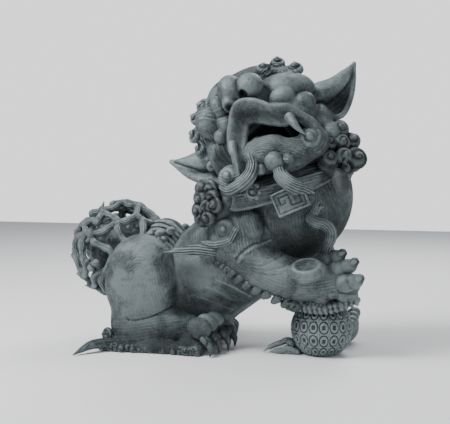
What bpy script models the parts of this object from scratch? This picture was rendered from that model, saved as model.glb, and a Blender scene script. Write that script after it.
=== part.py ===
"""A temple guardian lion, seated with a raised forepaw on a lattice ball.

Metres, +Z up. The lion faces +X and turns its head to -Y, so -Y is the near flank.
Each casting is a rounded solid built up from eggs, tapered bars and discs.
The castings are listed from the large sections to the small applied ones.
Every casting is cut back to fit on the ones listed before it, so the large ones stay whole.
The large sections are hollow, with their cores open underneath or at a joint.
"""

import math

import bmesh
import bpy
import numpy as np
from mathutils import Vector
from mathutils.bvhtree import BVHTree

HEIGHT = 1.20            # to the top curl of the brow
WALL = 0.014             # wall of the hollow castings
SEAM = 0.0060            # clearance left where a casting is cut to fit on another
FIT = 0.0005             # least clearance between the finished faces
BALL_R = 0.126           # lattice ball
BALL_Z = 0.106           # its centre, lower than its radius, so it stands on a flat
BALL_X, BALL_Y = 0.470, -0.090
TAIL_R = 0.215           # openwork tail
TAIL_C = (-0.425, 0.0, 0.392)
STRAND = 0.0145          # radius of a tail strand
HEAD = (0.218, -0.033, 0.920)
HEAD_TURN, HEAD_ROLL, HEAD_LIFT = 8.0, -30.0, -20.0
SPAN_Y = 0.130           # haunch and foot stand this far to each side of the middle


# ---------------------------------------------------------------- rounded solids
def rotation(turn, roll, lift):
    """Turn about Z, after roll about Y, after lift about X, in degrees."""
    cx, sx = math.cos(math.radians(lift)), math.sin(math.radians(lift))
    cy, sy = math.cos(math.radians(roll)), math.sin(math.radians(roll))
    cz, sz = math.cos(math.radians(turn)), math.sin(math.radians(turn))
    about_x = np.array([[1, 0, 0], [0, cx, -sx], [0, sx, cx]])
    about_y = np.array([[cy, 0, sy], [0, 1, 0], [-sy, 0, cy]])
    about_z = np.array([[cz, -sz, 0], [sz, cz, 0], [0, 0, 1]])
    return about_z @ about_y @ about_x


HEAD_AXES = rotation(HEAD_TURN, HEAD_ROLL, HEAD_LIFT)


def on_head(x, y, z):
    """A point of the head: x to the lion's left, y to the back of the skull, z to the crown."""
    return tuple(HEAD_AXES @ np.array([x, y, z]) + np.array(HEAD))


def egg(centre, radii, axes=None):
    """An ellipsoid."""
    centre = np.array(centre, float)
    radii = np.array(radii, float)
    turn = np.eye(3) if axes is None else axes
    reach = np.abs(turn) @ radii

    def depth(x, y, z):
        p = [x - centre[0], y - centre[1], z - centre[2]]
        q = [sum(turn[i, j] * p[i] for i in range(3)) for j in range(3)]
        near = np.sqrt(sum((q[j] / radii[j]) ** 2 for j in range(3)))
        slope = np.sqrt(sum((q[j] / radii[j] ** 2) ** 2 for j in range(3)))
        return near * (near - 1.0) / np.maximum(slope, 1e-9)

    return depth, centre - reach, centre + reach


def rod(points, radii):
    """A bar of changing thickness through the points."""
    points = np.array(points, float)
    radii = np.broadcast_to(np.array(radii, float), (len(points),))

    def depth(x, y, z):
        best = None
        for a, b, ra, rb in zip(points[:-1], points[1:], radii[:-1], radii[1:]):
            d = b - a
            t = ((x - a[0]) * d[0] + (y - a[1]) * d[1] + (z - a[2]) * d[2]) / max(d @ d, 1e-12)
            t = np.clip(t, 0.0, 1.0)
            far = np.sqrt((x - a[0] - t * d[0]) ** 2 + (y - a[1] - t * d[1]) ** 2
                          + (z - a[2] - t * d[2]) ** 2)
            far = far - (ra + t * (rb - ra))
            best = far if best is None else np.minimum(best, far)
        return best

    low = (points - radii[:, None]).min(axis=0)
    high = (points + radii[:, None]).max(axis=0)
    return depth, low, high


def slab(centre, half, axes=None, round_off=0.004):
    """A block with rounded edges."""
    centre = np.array(centre, float)
    half = np.array(half, float)
    turn = np.eye(3) if axes is None else axes
    reach = np.abs(turn) @ half

    def depth(x, y, z):
        p = [x - centre[0], y - centre[1], z - centre[2]]
        q = [abs(sum(turn[i, j] * p[i] for i in range(3))) - half[j] + round_off for j in range(3)]
        out = np.sqrt(sum(np.maximum(c, 0.0) ** 2 for c in q))
        inside = np.minimum(np.maximum(np.maximum(q[0], q[1]), q[2]), 0.0)
        return out + inside - round_off

    return depth, centre - reach, centre + reach


def smooth_path(points, steps=5):
    """The points joined by a smooth curve."""
    points = [np.array(p, float) for p in points]
    ends = [2 * points[0] - points[1]] + points + [2 * points[-1] - points[-2]]
    path = []
    for p0, p1, p2, p3 in zip(ends[:-3], ends[1:-2], ends[2:-1], ends[3:]):
        for i in range(steps):
            t = i / steps
            path.append(0.5 * (2 * p1 + (p2 - p0) * t + (2 * p0 - 5 * p1 + 4 * p2 - p3) * t ** 2
                               + (3 * p1 - p0 - 3 * p2 + p3) * t ** 3))
    path.append(points[-1])
    return path


def lock(points, radii, steps=4):
    """A curving lock of hair, its thickness changing along it."""
    path = smooth_path(points, steps)
    ends = np.linspace(0.0, len(radii) - 1.0, len(path))
    return rod(path, np.interp(ends, np.arange(len(radii)), radii))


def mirrored(solid):
    """The same solid on the other flank."""
    depth, low, high = solid
    return (lambda x, y, z: depth(x, -y, z)), np.array([low[0], -high[1], low[2]]), \
        np.array([high[0], -low[1], high[2]])


def melt(a, b, blend):
    """The union of two depths with a soft joint."""
    h = np.clip(0.5 + 0.5 * (b - a) / blend, 0.0, 1.0)
    return b + (a - b) * h - blend * h * (1.0 - h)


# ---------------------------------------------------------------- castings
class Casting:
    """One casting: solids melted together, less its cuts, with nothing under the ground."""

    def __init__(self, name, solids, cuts=(), blend=0.02, cell=0.010, faces=220, slot="patina",
                 hollow=(), floor=False):
        self.name, self.solids, self.cuts = name, list(solids), list(cuts)
        self.blend, self.cell, self.faces, self.slot = blend, cell, faces, slot
        self.hollow, self.floor = list(hollow), floor
        self.low = np.min([s[1] for s in self.solids], axis=0) - blend
        self.high = np.max([s[2] for s in self.solids], axis=0) + blend

    def depth(self, x, y, z):
        value = None
        for solid in self.solids:
            one = solid[0](x, y, z)
            value = one if value is None else melt(value, one, self.blend)
        for cut in self.cuts:
            value = np.maximum(value, -cut[0](x, y, z))
        if self.floor:
            value = np.maximum(value, -z)
        return value


KUHN = ((0, 1, 3, 7), (0, 2, 3, 7), (0, 1, 5, 7), (0, 4, 5, 7), (0, 2, 6, 7), (0, 4, 6, 7))


def skin(value, low, cell):
    """The faces where value crosses zero, found cell by cell in six tetrahedra each."""
    shape = np.array(value.shape)
    flat = value.ravel()
    index = np.arange(flat.size).reshape(shape)
    corner = []
    for bit in range(8):
        i, j, k = bit & 1, (bit >> 1) & 1, (bit >> 2) & 1
        corner.append(index[i:shape[0] - 1 + i, j:shape[1] - 1 + j, k:shape[2] - 1 + k].ravel())
    corner = np.stack(corner, axis=1)
    signs = flat[corner] < 0.0
    corner = corner[signs.any(axis=1) & ~signs.all(axis=1)]
    where = np.stack(np.unravel_index(np.arange(flat.size), shape), axis=1).astype(float)
    edges, inner = [], []
    for tetra in KUHN:
        ids = corner[:, tetra]
        inside = flat[ids] < 0.0
        count = inside.sum(axis=1)
        for k in range(4):
            others = [m for m in range(4) if m != k]
            for lone, pick in ((True, (count == 1) & inside[:, k]), (False, (count == 3) & ~inside[:, k])):
                row = ids[pick]
                if len(row):
                    edges.append(np.stack([row[:, [k, m]] for m in others], axis=1))
                    inner.append(where[row[:, k]] if lone else where[row[:, others]].mean(axis=1))
        for a, b in ((0, 1), (0, 2), (0, 3), (1, 2), (1, 3), (2, 3)):
            c, d = [m for m in range(4) if m not in (a, b)]
            row = ids[(count == 2) & inside[:, a] & inside[:, b]]
            if len(row):
                middle = where[row[:, [a, b]]].mean(axis=1)
                edges.append(np.stack([row[:, [a, c]], row[:, [a, d]], row[:, [b, d]]], axis=1))
                edges.append(np.stack([row[:, [a, c]], row[:, [b, d]], row[:, [b, c]]], axis=1))
                inner += [middle, middle]
    edges = np.sort(np.concatenate(edges), axis=2)
    inner = np.concatenate(inner)
    keys = edges[:, :, 0].astype(np.int64) * flat.size + edges[:, :, 1]
    found, faces = np.unique(keys.ravel(), return_inverse=True)
    faces = faces.reshape(-1, 3)
    one, two = found // flat.size, found % flat.size
    t = np.clip(flat[one] / (flat[one] - flat[two]), 0.04, 0.96)[:, None]
    points = where[one] * (1.0 - t) + where[two] * t
    tri = points[faces]
    normal = np.cross(tri[:, 1] - tri[:, 0], tri[:, 2] - tri[:, 0])
    wrong = np.einsum("ij,ij->i", normal, tri.mean(axis=1) - inner) < 0.0
    faces[wrong] = faces[wrong][:, ::-1]
    return points * cell + low, faces


def largest_piece(mesh):
    """Keeps the largest connected body of a mesh and drops the crumbs."""
    bm = bmesh.new()
    bm.from_mesh(mesh)
    bm.verts.ensure_lookup_table()
    todo = set(bm.verts)
    bodies = []
    while todo:
        start = todo.pop()
        body, edge = [start], [start]
        while edge:
            vert = edge.pop()
            for e in vert.link_edges:
                other = e.other_vert(vert)
                if other in todo:
                    todo.discard(other)
                    body.append(other)
                    edge.append(other)
        bodies.append(body)
    bodies.sort(key=len, reverse=True)
    for body in bodies[1:]:
        bmesh.ops.delete(bm, geom=body, context="VERTS")
    bmesh.ops.triangulate(bm, faces=bm.faces[:])
    bm.to_mesh(mesh)
    open_edges = sum(not e.is_manifold for e in bm.edges)
    bm.free()
    return open_edges, len(bodies)


def evaluated(obj, **modifier):
    """The object's mesh with one modifier applied."""
    kind = modifier.pop("kind")
    mod = obj.modifiers.new("step", kind)
    for key, setting in modifier.items():
        setattr(mod, key, setting)
    graph = bpy.context.evaluated_depsgraph_get()
    mesh = bpy.data.meshes.new_from_object(obj.evaluated_get(graph))
    obj.modifiers.clear()
    old = obj.data
    obj.data = mesh
    bpy.data.meshes.remove(old)


def under(castings, item):
    """The castings this one is set on, which are those listed before it that reach it."""
    before = castings[:castings.index(item)]
    return [c for c in before if (c.low < item.high).all() and (c.high > item.low).all()]


def mesh_of(item, castings):
    """Works out the casting's depth on a grid, cuts its neighbours out, cores it and skins it."""
    cell = item.cell
    low = item.low - 1.5 * cell
    if item.floor:
        low[2] = -1.5 * cell
    count = np.ceil((item.high + 1.5 * cell - low) / cell).astype(int) + 1
    axes = [low[i] + cell * np.arange(count[i]) for i in range(3)]
    x, y, z = np.meshgrid(*axes, indexing="ij")
    value = item.depth(x, y, z)
    for other in under(castings, item):
        first = [max(int((other.low[i] - low[i]) / cell) - 1, 0) for i in range(3)]
        last = [min(int((other.high[i] - low[i]) / cell) + 3, count[i]) for i in range(3)]
        part = tuple(slice(a, b) for a, b in zip(first, last))
        if all(a < b for a, b in zip(first, last)):
            near = other.depth(x[part], y[part], z[part])
            value[part] = np.maximum(value[part], SEAM - near)
    if item.hollow:
        value = np.maximum(value, -(value + WALL))
        for cut in item.hollow:
            value = np.maximum(value, -cut[0](x, y, z))
    edge = np.ones(value.shape, bool)
    edge[1:-1, 1:-1, 1:-1] = False
    value[edge] = np.maximum(value[edge], cell)
    points, faces = skin(value, low, cell)
    mesh = bpy.data.meshes.new(item.name)
    mesh.from_pydata(points.tolist(), [], faces.tolist())
    mesh.update()
    return mesh


# ---------------------------------------------------------------- the lion
def body():
    """Hips, ribs and chest in two hollow sections, with the thighs set on outside."""
    ribs = rod([(-0.10, 0, 0.235), (0.14, 0, 0.425), (0.31, 0, 0.60)], (0.205, 0.215, 0.20))
    hips = egg((-0.22, 0, 0.22), (0.19, 0.17, 0.20))
    chest = egg((0.345, 0, 0.63), (0.232, 0.20, 0.25))
    neck = rod([(0.26, 0, 0.66), (0.24, -0.01, 0.82)], (0.215, 0.20))
    lean = rotation(0, 45, 0)
    front = slab((0.58, 0, 0.76), (0.60, 0.5, 0.42), lean, 0.0)
    rear = slab((-0.01, 0, 0.17), (0.60, 0.5, 0.42), lean, 0.0)
    stump = rod([(-0.27, 0, 0.33), (-0.33, 0, 0.40)], (0.075, 0.06))
    torso = Casting("torso", [ribs, hips, stump], cuts=[front], cell=0.009, blend=0.06, faces=560,
                    hollow=[rod([(-0.16, 0, -0.1), (-0.12, 0, 0.15)], 0.06)], floor=True)
    forequarters = Casting("forequarters", [chest, neck, ribs], cuts=[rear], cell=0.009, blend=0.05,
                           faces=630, hollow=[rod([(0.15, 0, 0.40), (0.27, 0, 0.52)], 0.09)])
    return [torso, forequarters]


def hind_leg(side):
    """Thigh, foot, toes, claws in a fur cuff, heel lock, and the fringe of curls along the ground."""
    flip = (lambda s: s) if side == "near" else mirrored
    y = -SPAN_Y
    thigh = [egg((-0.278, y - 0.035, 0.270), (0.166, 0.115, 0.202)),
             rod([(-0.30, y - 0.02, 0.20), (-0.31, y - 0.025, 0.08)], (0.125, 0.115)),
             rod([(-0.20, y - 0.03, 0.20), (-0.12, y - 0.04, 0.14)], (0.10, 0.07))]
    foot = [rod([(-0.30, y - 0.03, 0.09), (-0.12, y - 0.03, 0.10), (-0.03, y, 0.07)],
                (0.11, 0.095, 0.07)),
            egg((-0.045, y - 0.01, 0.062), (0.080, 0.115, 0.072))]
    leg = Casting(side + "_thigh", [flip(s) for s in thigh], cell=0.009, blend=0.03, faces=430,
                  hollow=[flip(rod([(-0.30, y, -0.05), (-0.29, y, 0.10)], 0.07))], floor=True)
    sole = Casting(side + "_hind_foot", [flip(s) for s in foot], cell=0.011, blend=0.03, faces=290,
                   floor=True)
    cuff = [rod([(0.050, y + 0.115, 0.062), (0.052, y + 0.04, 0.060), (0.045, y - 0.06, 0.058),
                 (0.030, y - 0.135, 0.055)], 0.026)]
    for i in range(4):
        root = (0.056 + 0.006 * i, y - 0.132 + 0.082 * i, 0.058)
        cuff.append(rod([root, (root[0] + 0.018, root[1] - 0.008, 0.007)], (0.013, 0.004)))
    claws = Casting(side + "_hind_claws", [flip(s) for s in cuff], cell=0.006, blend=0.006, faces=290,
                    floor=True)
    toes = []
    for i, r in enumerate((0.036, 0.030, 0.027, 0.025)):
        toes.append(egg((0.004 + 0.014 * i, y - 0.118 + 0.06 * i, 0.108 + 0.006 * i), (r * 1.2, r, r)))
    knuckles = Casting(side + "_hind_toes", [flip(s) for s in toes], cell=0.008, blend=0.010, faces=240)
    curls = []
    for i in range(19):
        curls.append(egg((-0.405 + 0.0225 * i, y - 0.147 - 0.006 * math.sin(i * 0.5), 0.012),
                         (0.0145, 0.016, 0.0145)))
    fringe = Casting(side + "_ground_fringe", [flip(s) for s in curls], cell=0.007, blend=0.008,
                     faces=290, floor=True)
    knob = lock([(-0.40, y - 0.10, 0.05), (-0.435, y - 0.10, 0.075), (-0.452, y - 0.11, 0.055)],
                (0.026, 0.030, 0.022))
    spike = lock([(-0.40, y - 0.13, 0.040), (-0.445, y - 0.18, 0.046), (-0.485, y - 0.24, 0.030),
                  (-0.525, y - 0.285, 0.008)], (0.028, 0.022, 0.015, 0.004))
    heel = Casting(side + "_heel_lock", [flip(knob), flip(spike)], cell=0.006, blend=0.008, faces=200,
                   floor=True)
    return [leg, sole], [fringe, claws, knuckles, heel]


def forelegs():
    """The near foreleg reaches over the ball, and the far one stands behind it."""
    arm = rod([(0.13, -0.175, 0.42), (0.25, -0.195, 0.352), (0.36, -0.19, 0.312), (0.46, -0.15, 0.302)],
              (0.105, 0.092, 0.084, 0.088))
    palm = egg((0.515, -0.115, 0.295), (0.105, 0.095, 0.072))
    ankle = rod([(0.58, -0.13, 0.27), (0.602, -0.145, 0.235)], (0.04, 0.018))
    knuckle = egg((0.482, -0.100, 0.392), (0.024, 0.024, 0.024))
    shoulder = egg((0.16, -0.14, 0.47), (0.16, 0.11, 0.14))
    near = Casting("near_foreleg", [shoulder, arm, palm, ankle, knuckle], cell=0.012, blend=0.03,
                   faces=480)
    cuff = [egg((0.41 + 0.028 * i, -0.185 + 0.008 * i, 0.232 - 0.004 * i), (0.018, 0.03, 0.022))
            for i in range(7)]
    tuft = Casting("near_paw_fur", cuff, cell=0.008, blend=0.012, faces=200)
    dish = Casting("wrist_boss", [egg((0.437, -0.245, 0.357), (0.070, 0.040, 0.055), rotation(20, -8, 8))],
                   cuts=[egg((0.432, -0.290, 0.362), (0.046, 0.030, 0.034), rotation(20, -8, 8))],
                   cell=0.008, faces=240)
    toes = []
    for i, (root, tip, claw) in enumerate((
            ((0.49, -0.02, 0.355), (0.505, -0.045, 0.400), (0.548, -0.050, 0.403)),
            ((0.53, -0.08, 0.335), (0.562, -0.105, 0.362), (0.612, -0.110, 0.385)),
            ((0.55, -0.14, 0.305), (0.595, -0.165, 0.322), (0.645, -0.170, 0.336)))):
        toes.append(Casting("near_toe_%d" % (i + 1), [rod([root, tip], (0.034, 0.032)),
                                                      rod([tip, claw], (0.020, 0.005))],
                            cell=0.007, blend=0.010, faces=180))
    leg = rod([(0.22, 0.15, 0.45), (0.385, 0.155, 0.39), (0.43, 0.165, 0.30), (0.455, 0.17, 0.20), (0.455, 0.17, 0.125)],
              (0.09, 0.088, 0.078, 0.070, 0.072))
    shin = Casting("far_foreleg", [mirrored(shoulder), leg], cell=0.012, blend=0.03, faces=320)
    paw = [egg((0.475, 0.165, 0.062), (0.105, 0.085, 0.075))]
    foot = Casting("far_forepaw", paw, cell=0.011, faces=200, floor=True)
    pads = [rod([(0.52, 0.115 + 0.036 * i, 0.095), (0.555, 0.112 + 0.038 * i, 0.085 + 0.012 * i),
                 (0.568, 0.112 + 0.038 * i, 0.045)], (0.024, 0.024, 0.016)) for i in range(4)]
    far_toes = Casting("far_fore_toes", pads, cell=0.008, blend=0.008, faces=240)
    return [shin, near, foot], [tuft, dish] + toes + [far_toes]


def ball():
    """The ball stands on its flat, cored from below, with a ribbon trailing on the ground beside it."""
    shell = Casting("lattice_ball", [egg((BALL_X, BALL_Y, BALL_Z), (BALL_R,) * 3)], cell=0.009,
                    faces=630, floor=True,
                    hollow=[rod([(BALL_X, BALL_Y, -0.10), (BALL_X, BALL_Y, 0.03)], 0.045)])
    tail = [lock([(0.355, -0.10, 0.030), (0.318, -0.11, 0.046), (0.285, -0.105, 0.034),
                  (0.262, -0.11, 0.020), (0.236, -0.10, 0.006)], (0.016, 0.017, 0.015, 0.011, 0.004)),
            lock([(0.355, -0.12, 0.016), (0.315, -0.13, 0.013)], (0.017, 0.013))]
    band = Casting("ground_ribbon", tail, cell=0.006, blend=0.006, faces=160, floor=True)
    path = [(0.452, -0.165, 0.625), (0.447, -0.175, 0.588), (0.437, -0.185, 0.560),
            (0.458, -0.190, 0.543), (0.492, -0.182, 0.530), (0.512, -0.170, 0.500),
            (0.508, -0.155, 0.465), (0.482, -0.140, 0.430), (0.478, -0.12, 0.395)]
    snake = [lock(path, (0.008, 0.016, 0.020, 0.020, 0.020, 0.020, 0.020, 0.020, 0.022)),
             rod([(0.447, -0.175, 0.588), (0.475, -0.165, 0.600)], (0.014, 0.006))]
    ribbon = Casting("chest_ribbon", snake, cell=0.007, blend=0.006, faces=240)
    return [shell], [band, ribbon]


def flank_hair():
    """Scalloped fringe under the arm, the flame lock and the comma lock of the shoulder."""
    edge = smooth_path([(0.070, -0.235, 0.400), (0.105, -0.238, 0.362), (0.141, -0.240, 0.338),
                        (0.197, -0.232, 0.292), (0.270, -0.215, 0.250), (0.335, -0.200, 0.222),
                        (0.385, -0.190, 0.212)], 4)
    fringe = [egg(p, (0.020, 0.020, 0.018)) for p in edge]
    arm = Casting("arm_fringe", fringe, cell=0.008, blend=0.012, faces=290)
    flame = Casting("shoulder_flame_lock",
                    [lock([(0.085, -0.240, 0.408), (0.03, -0.262, 0.425), (-0.03, -0.262, 0.432),
                           (-0.09, -0.248, 0.425), (-0.152, -0.235, 0.405)],
                          (0.020, 0.024, 0.022, 0.015, 0.004))], cell=0.007, faces=200)
    comma = Casting("shoulder_comma_lock",
                    [egg((0.118, -0.245, 0.522), (0.040, 0.024, 0.040)),
                     lock([(0.130, -0.240, 0.50), (0.095, -0.245, 0.462), (0.05, -0.242, 0.450),
                           (0.005, -0.235, 0.452)], (0.026, 0.020, 0.013, 0.004))],
                    cell=0.007, faces=180, blend=0.012)
    far = [Casting("far_" + c.name, [mirrored(s) for s in c.solids], cell=c.cell, faces=c.faces,
                   blend=c.blend) for c in (flame, comma)]
    return [arm, flame, comma] + far


def collar():
    """Broad collar under the mane, with a rosette and a hanging plaque."""
    ring = smooth_path([(0.13, -0.235, 0.600), (0.23, -0.275, 0.640), (0.36, -0.262, 0.680),
                        (0.46, -0.19, 0.722), (0.535, -0.08, 0.745)], 4)
    band = [rod(ring, 0.030)]
    belt = Casting("collar", band, cell=0.009, faces=290)
    rosette = Casting("collar_rosette", [egg((0.232, -0.302, 0.660), (0.032, 0.020, 0.032))],
                      cell=0.007, faces=140)
    plaque = Casting("collar_plaque", [slab((0.383, -0.283, 0.630), (0.068, 0.016, 0.046),
                                            rotation(6, -24, -6), 0.006)], cell=0.008, faces=140)
    return [belt, rosette, plaque]


def head():
    """The skull with its open mouth, and every applied feature of the face."""
    at = on_head
    axes = HEAD_AXES
    skull = [egg(at(0.01, 0.02, 0.060), (0.200, 0.175, 0.205), axes),
             egg(at(0.01, -0.12, 0.02), (0.105, 0.110, 0.085), axes),
             egg(at(0.02, -0.02, -0.14), (0.215, 0.165, 0.15), axes),
             egg(at(0.13, -0.12, -0.10), (0.075, 0.09, 0.10), axes),
             egg(at(-0.12, -0.12, -0.08), (0.075, 0.09, 0.10), axes)]
    mouth = [egg(at(0.03, -0.22, -0.105), (0.115, 0.16, 0.052), axes)]
    core = [egg(at(0.01, 0.035, 0.050), (0.150, 0.125, 0.150), axes),
            rod([at(0.00, 0.050, -0.02), at(-0.05, 0.055, -0.34)], 0.080)]
    cast = Casting("skull", skull, cuts=mouth + core, cell=0.009, blend=0.04, faces=900)
    lip = lock([at(-0.150, -0.185, -0.150), at(-0.138, -0.205, -0.070), at(-0.095, -0.228, -0.005),
                at(-0.045, -0.250, 0.018), at(0.020, -0.255, -0.012), at(0.078, -0.245, -0.070),
                at(0.125, -0.225, -0.112), at(0.165, -0.195, -0.165), at(0.185, -0.165, -0.215)],
               (0.020, 0.028, 0.032, 0.032, 0.030, 0.028, 0.026, 0.022, 0.016))
    upper = Casting("upper_lip", [lip], cell=0.009, faces=320)
    jaw = [egg(at(-0.075, -0.170, -0.185), (0.075, 0.075, 0.060), axes),
           egg(at(0.030, -0.175, -0.215), (0.095, 0.075, 0.055), axes),
           egg(at(-0.030, -0.190, -0.190), (0.060, 0.060, 0.055), axes),
           egg(at(0.038, -0.215, -0.255), (0.024, 0.026, 0.024)),
           egg(at(-0.076, -0.205, -0.238), (0.023, 0.026, 0.023))]
    lower = Casting("lower_jaw", jaw, cell=0.011, blend=0.02, faces=270)
    nose = Casting("nose", [egg(at(-0.038, -0.235, 0.075), (0.048, 0.050, 0.050), axes),
                            egg(at(0.036, -0.240, 0.070), (0.046, 0.050, 0.048), axes)],
                   cuts=[egg(at(0.020, -0.290, 0.028), (0.014, 0.03, 0.016), axes)],
                   cell=0.009, blend=0.008, faces=260)
    parts = [lower, upper, nose]
    for side, x, z in (("left", 0.142, 0.052), ("right", -0.175, 0.056)):
        parts.append(Casting(side + "_eye", [egg(at(x, -0.150, z), (0.062, 0.055, 0.058), axes)],
                             cell=0.010, faces=180))
    parts.append(Casting("left_cheek", [egg(at(0.132, -0.185, -0.022), (0.048, 0.045, 0.042), axes),
                                        egg(at(0.188, -0.145, -0.072), (0.042, 0.045, 0.040), axes)],
                         cell=0.009, blend=0.008, faces=210))
    parts.append(Casting("right_cheek", [egg(at(-0.108, -0.190, 0.078), (0.034, 0.050, 0.045), axes),
                                         egg(at(-0.165, -0.170, -0.016), (0.028, 0.034, 0.028), axes)],
                         cell=0.008, blend=0.03, faces=200))
    brow_left = [(0.110, -0.120, 0.180, 0.030), (0.168, -0.095, 0.188, 0.030), (0.215, -0.095, 0.120, 0.030)]
    brow_right = [(-0.165, -0.125, 0.160, 0.032), (-0.228, -0.095, 0.145, 0.030), (-0.262, -0.080, 0.080, 0.030)]
    for side, spots in (("left", brow_left), ("right", brow_right)):
        curls = [egg(at(px, py, pz), (r, r, r)) for px, py, pz, r in spots]
        curls.append(rod([at(px * 0.9, py + 0.02, pz - 0.015) for px, py, pz, r in spots], 0.026))
        parts.append(Casting(side + "_brow", curls, cell=0.009, blend=0.012, faces=270))
    fangs = (("left_fang", [(0.110, -0.215, -0.100), (0.118, -0.220, -0.165), (0.132, -0.222, -0.215)]),
             ("right_fang", [(-0.128, -0.200, -0.105), (-0.143, -0.208, -0.160), (-0.148, -0.212, -0.198)]))
    for name, spots in fangs:
        parts.append(Casting(name, [lock([at(*p) for p in spots], (0.014, 0.011, 0.004))],
                             cell=0.0055, faces=100))
    parts.append(Casting("chin_ball", [egg(at(-0.013, -0.225, -0.246), (0.036, 0.036, 0.036))],
                         cell=0.008, faces=140))
    parts.append(Casting("left_whisker_curl", [egg(at(0.150, -0.185, -0.225), (0.052, 0.036, 0.048), axes),
                                               egg(at(0.150, -0.215, -0.223), (0.024, 0.022, 0.024), axes)],
                         cell=0.009, blend=0.01, faces=180))
    right_lock = lock([at(-0.090, -0.205, -0.205), at(-0.110, -0.228, -0.250), at(-0.160, -0.232, -0.272),
                       at(-0.205, -0.222, -0.262)], (0.012, 0.026, 0.028, 0.018))
    left_lock = lock([at(-0.012, -0.205, -0.270), at(-0.022, -0.228, -0.322), at(-0.014, -0.232, -0.362),
                      at(0.028, -0.225, -0.400), at(0.055, -0.220, -0.428)],
                     (0.020, 0.026, 0.026, 0.020, 0.006))
    curl = [egg(at(-0.212, -0.190, -0.213), (0.050, 0.036, 0.048), axes),
            egg(at(-0.204, -0.222, -0.206), (0.022, 0.020, 0.022), axes)]
    parts.append(Casting("right_whisker_curl", [right_lock] + curl, cell=0.008, blend=0.01, faces=280))
    parts.append(Casting("left_beard_lock", [left_lock], cell=0.008, faces=200))
    return [cast], parts


def ear(side):
    """A thin pointed cup."""
    s = 1.0 if side == "left" else -1.0
    mid = 0.0
    root = on_head(mid + s * 0.225, 0.005, -0.020)
    spread = on_head(mid + s * 0.300, 0.005, -0.030)
    bend = on_head(mid + s * 0.365, 0.005, 0.005)
    tip = on_head(mid + s * 0.432, 0.000, 0.050)
    cup = [rod([root, spread, bend, tip], (0.072, 0.068, 0.040, 0.005))]
    scoop = rod([on_head(mid + s * 0.270, -0.060, -0.035), on_head(mid + s * 0.345, -0.050, -0.005),
                 on_head(mid + s * 0.405, -0.030, 0.035)], (0.060, 0.045, 0.015))
    back = rod([on_head(mid + s * 0.20, 0.095, -0.02), on_head(mid + s * 0.43, 0.070, 0.05)], 0.062)
    return Casting(side + "_ear", cup, cuts=[scoop, back], cell=0.008, blend=0.01, faces=240)


def mane():
    """Snail curls massed on both sides and behind the head."""
    at = on_head
    left = [(0.245, -0.080, -0.150, 0.036), (0.268, -0.070, -0.203, 0.036), (0.252, -0.080, -0.262, 0.040),
            (0.208, -0.100, -0.245, 0.034), (0.292, -0.040, -0.262, 0.034), (0.236, -0.090, -0.322, 0.042),
            (0.268, -0.055, -0.340, 0.040), (0.180, -0.125, -0.308, 0.036), (0.215, -0.06, -0.36, 0.036)]
    right = [(-0.262, -0.135, -0.262, 0.034), (-0.268, -0.120, -0.315, 0.034), (-0.300, -0.100, -0.270, 0.032),
             (-0.325, -0.090, -0.330, 0.034), (-0.283, -0.115, -0.372, 0.036), (-0.330, -0.060, -0.385, 0.036),
             (-0.250, -0.135, -0.390, 0.034), (-0.185, -0.150, -0.385, 0.028)]
    groups = []
    for name, spots in (("left_mane", left), ("right_mane", right)):
        curls = [egg(at(x - 0.01, y, z), (r, r, r)) for x, y, z, r in spots]
        curls.append(rod([at(x * 0.86, y + 0.04, z) for x, y, z, r in spots], 0.034))
        groups.append(Casting(name, curls, cell=0.010, blend=0.012, faces=430))
    rows = []
    for row, (z, reach, count) in enumerate(((0.13, 0.19, 5), (0.03, 0.225, 6), (-0.08, 0.235, 6),
                                             (-0.19, 0.225, 6), (-0.29, 0.21, 5))):
        for i in range(count):
            turn = math.radians(-62.0 + 124.0 * (i + 0.5 * (row % 2) * 0.6) / (count - 0.6))
            rows.append(egg(at(0.01 + reach * math.sin(turn), 0.05 + reach * 0.84 * math.cos(turn), z),
                            (0.044, 0.044, 0.042)))
    rows.append(egg(at(0.01, 0.055, -0.06), (0.215, 0.185, 0.255), HEAD_AXES))
    nape = Casting("nape_mane", rows, cell=0.014, blend=0.014, faces=720)
    drop = Casting("mane_drop_lock", [lock([at(0.165, -0.105, -0.375), at(0.160, -0.115, -0.420),
                                            at(0.150, -0.110, -0.475)], (0.022, 0.034, 0.008))],
                   cell=0.008, faces=140)
    return [nape], groups + [drop]


def tail():
    """A hollow ball of branching strands round a plain core, gathered into a knot at the back."""
    centre = np.array(TAIL_C)
    pole = np.array([0.80, 0.0, 0.60])
    side = np.cross(pole, (0.0, 1.0, 0.0))
    strands = []
    count = 10
    for i in range(count):
        path = []
        for k in range(13):
            along = math.radians(26.0 + 124.0 * k / 12.0)
            swing = 0.5 * math.pi * 2.0 / count * math.sin(math.pi * (k + 2.0 * (i % 2)) / 2.0)
            angle = 2.0 * math.pi * i / count + swing
            out = np.array([0.0, 1.0, 0.0]) * math.sin(angle) + side * math.cos(angle)
            path.append(centre + (TAIL_R - STRAND) * (pole * math.cos(along) + out * math.sin(along)))
        strands.append(rod(path, STRAND))
    knot = egg(centre + 0.80 * TAIL_R * pole, (0.085, 0.075, 0.07), rotation(0, -40, 0))
    tips = egg(centre - 0.86 * TAIL_R * pole, (0.045, 0.06, 0.05))
    lattice = Casting("tail_strands", strands + [knot, tips], cell=0.0105, blend=0.010, faces=1690)
    core = Casting("tail_core", [egg(centre + (0.03, 0, -0.02), (0.135, 0.120, 0.140))], cell=0.018,
                   faces=180)
    return [core], [lattice]


def all_castings():
    big, small = body(), []
    for group in (hind_leg("near"), hind_leg("far"), forelegs(), ball(), head(), mane(), tail()):
        big += group[0]
        small += group[1]
    return big + [ear("left"), ear("right")] + flank_hair() + collar() + small


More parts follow.
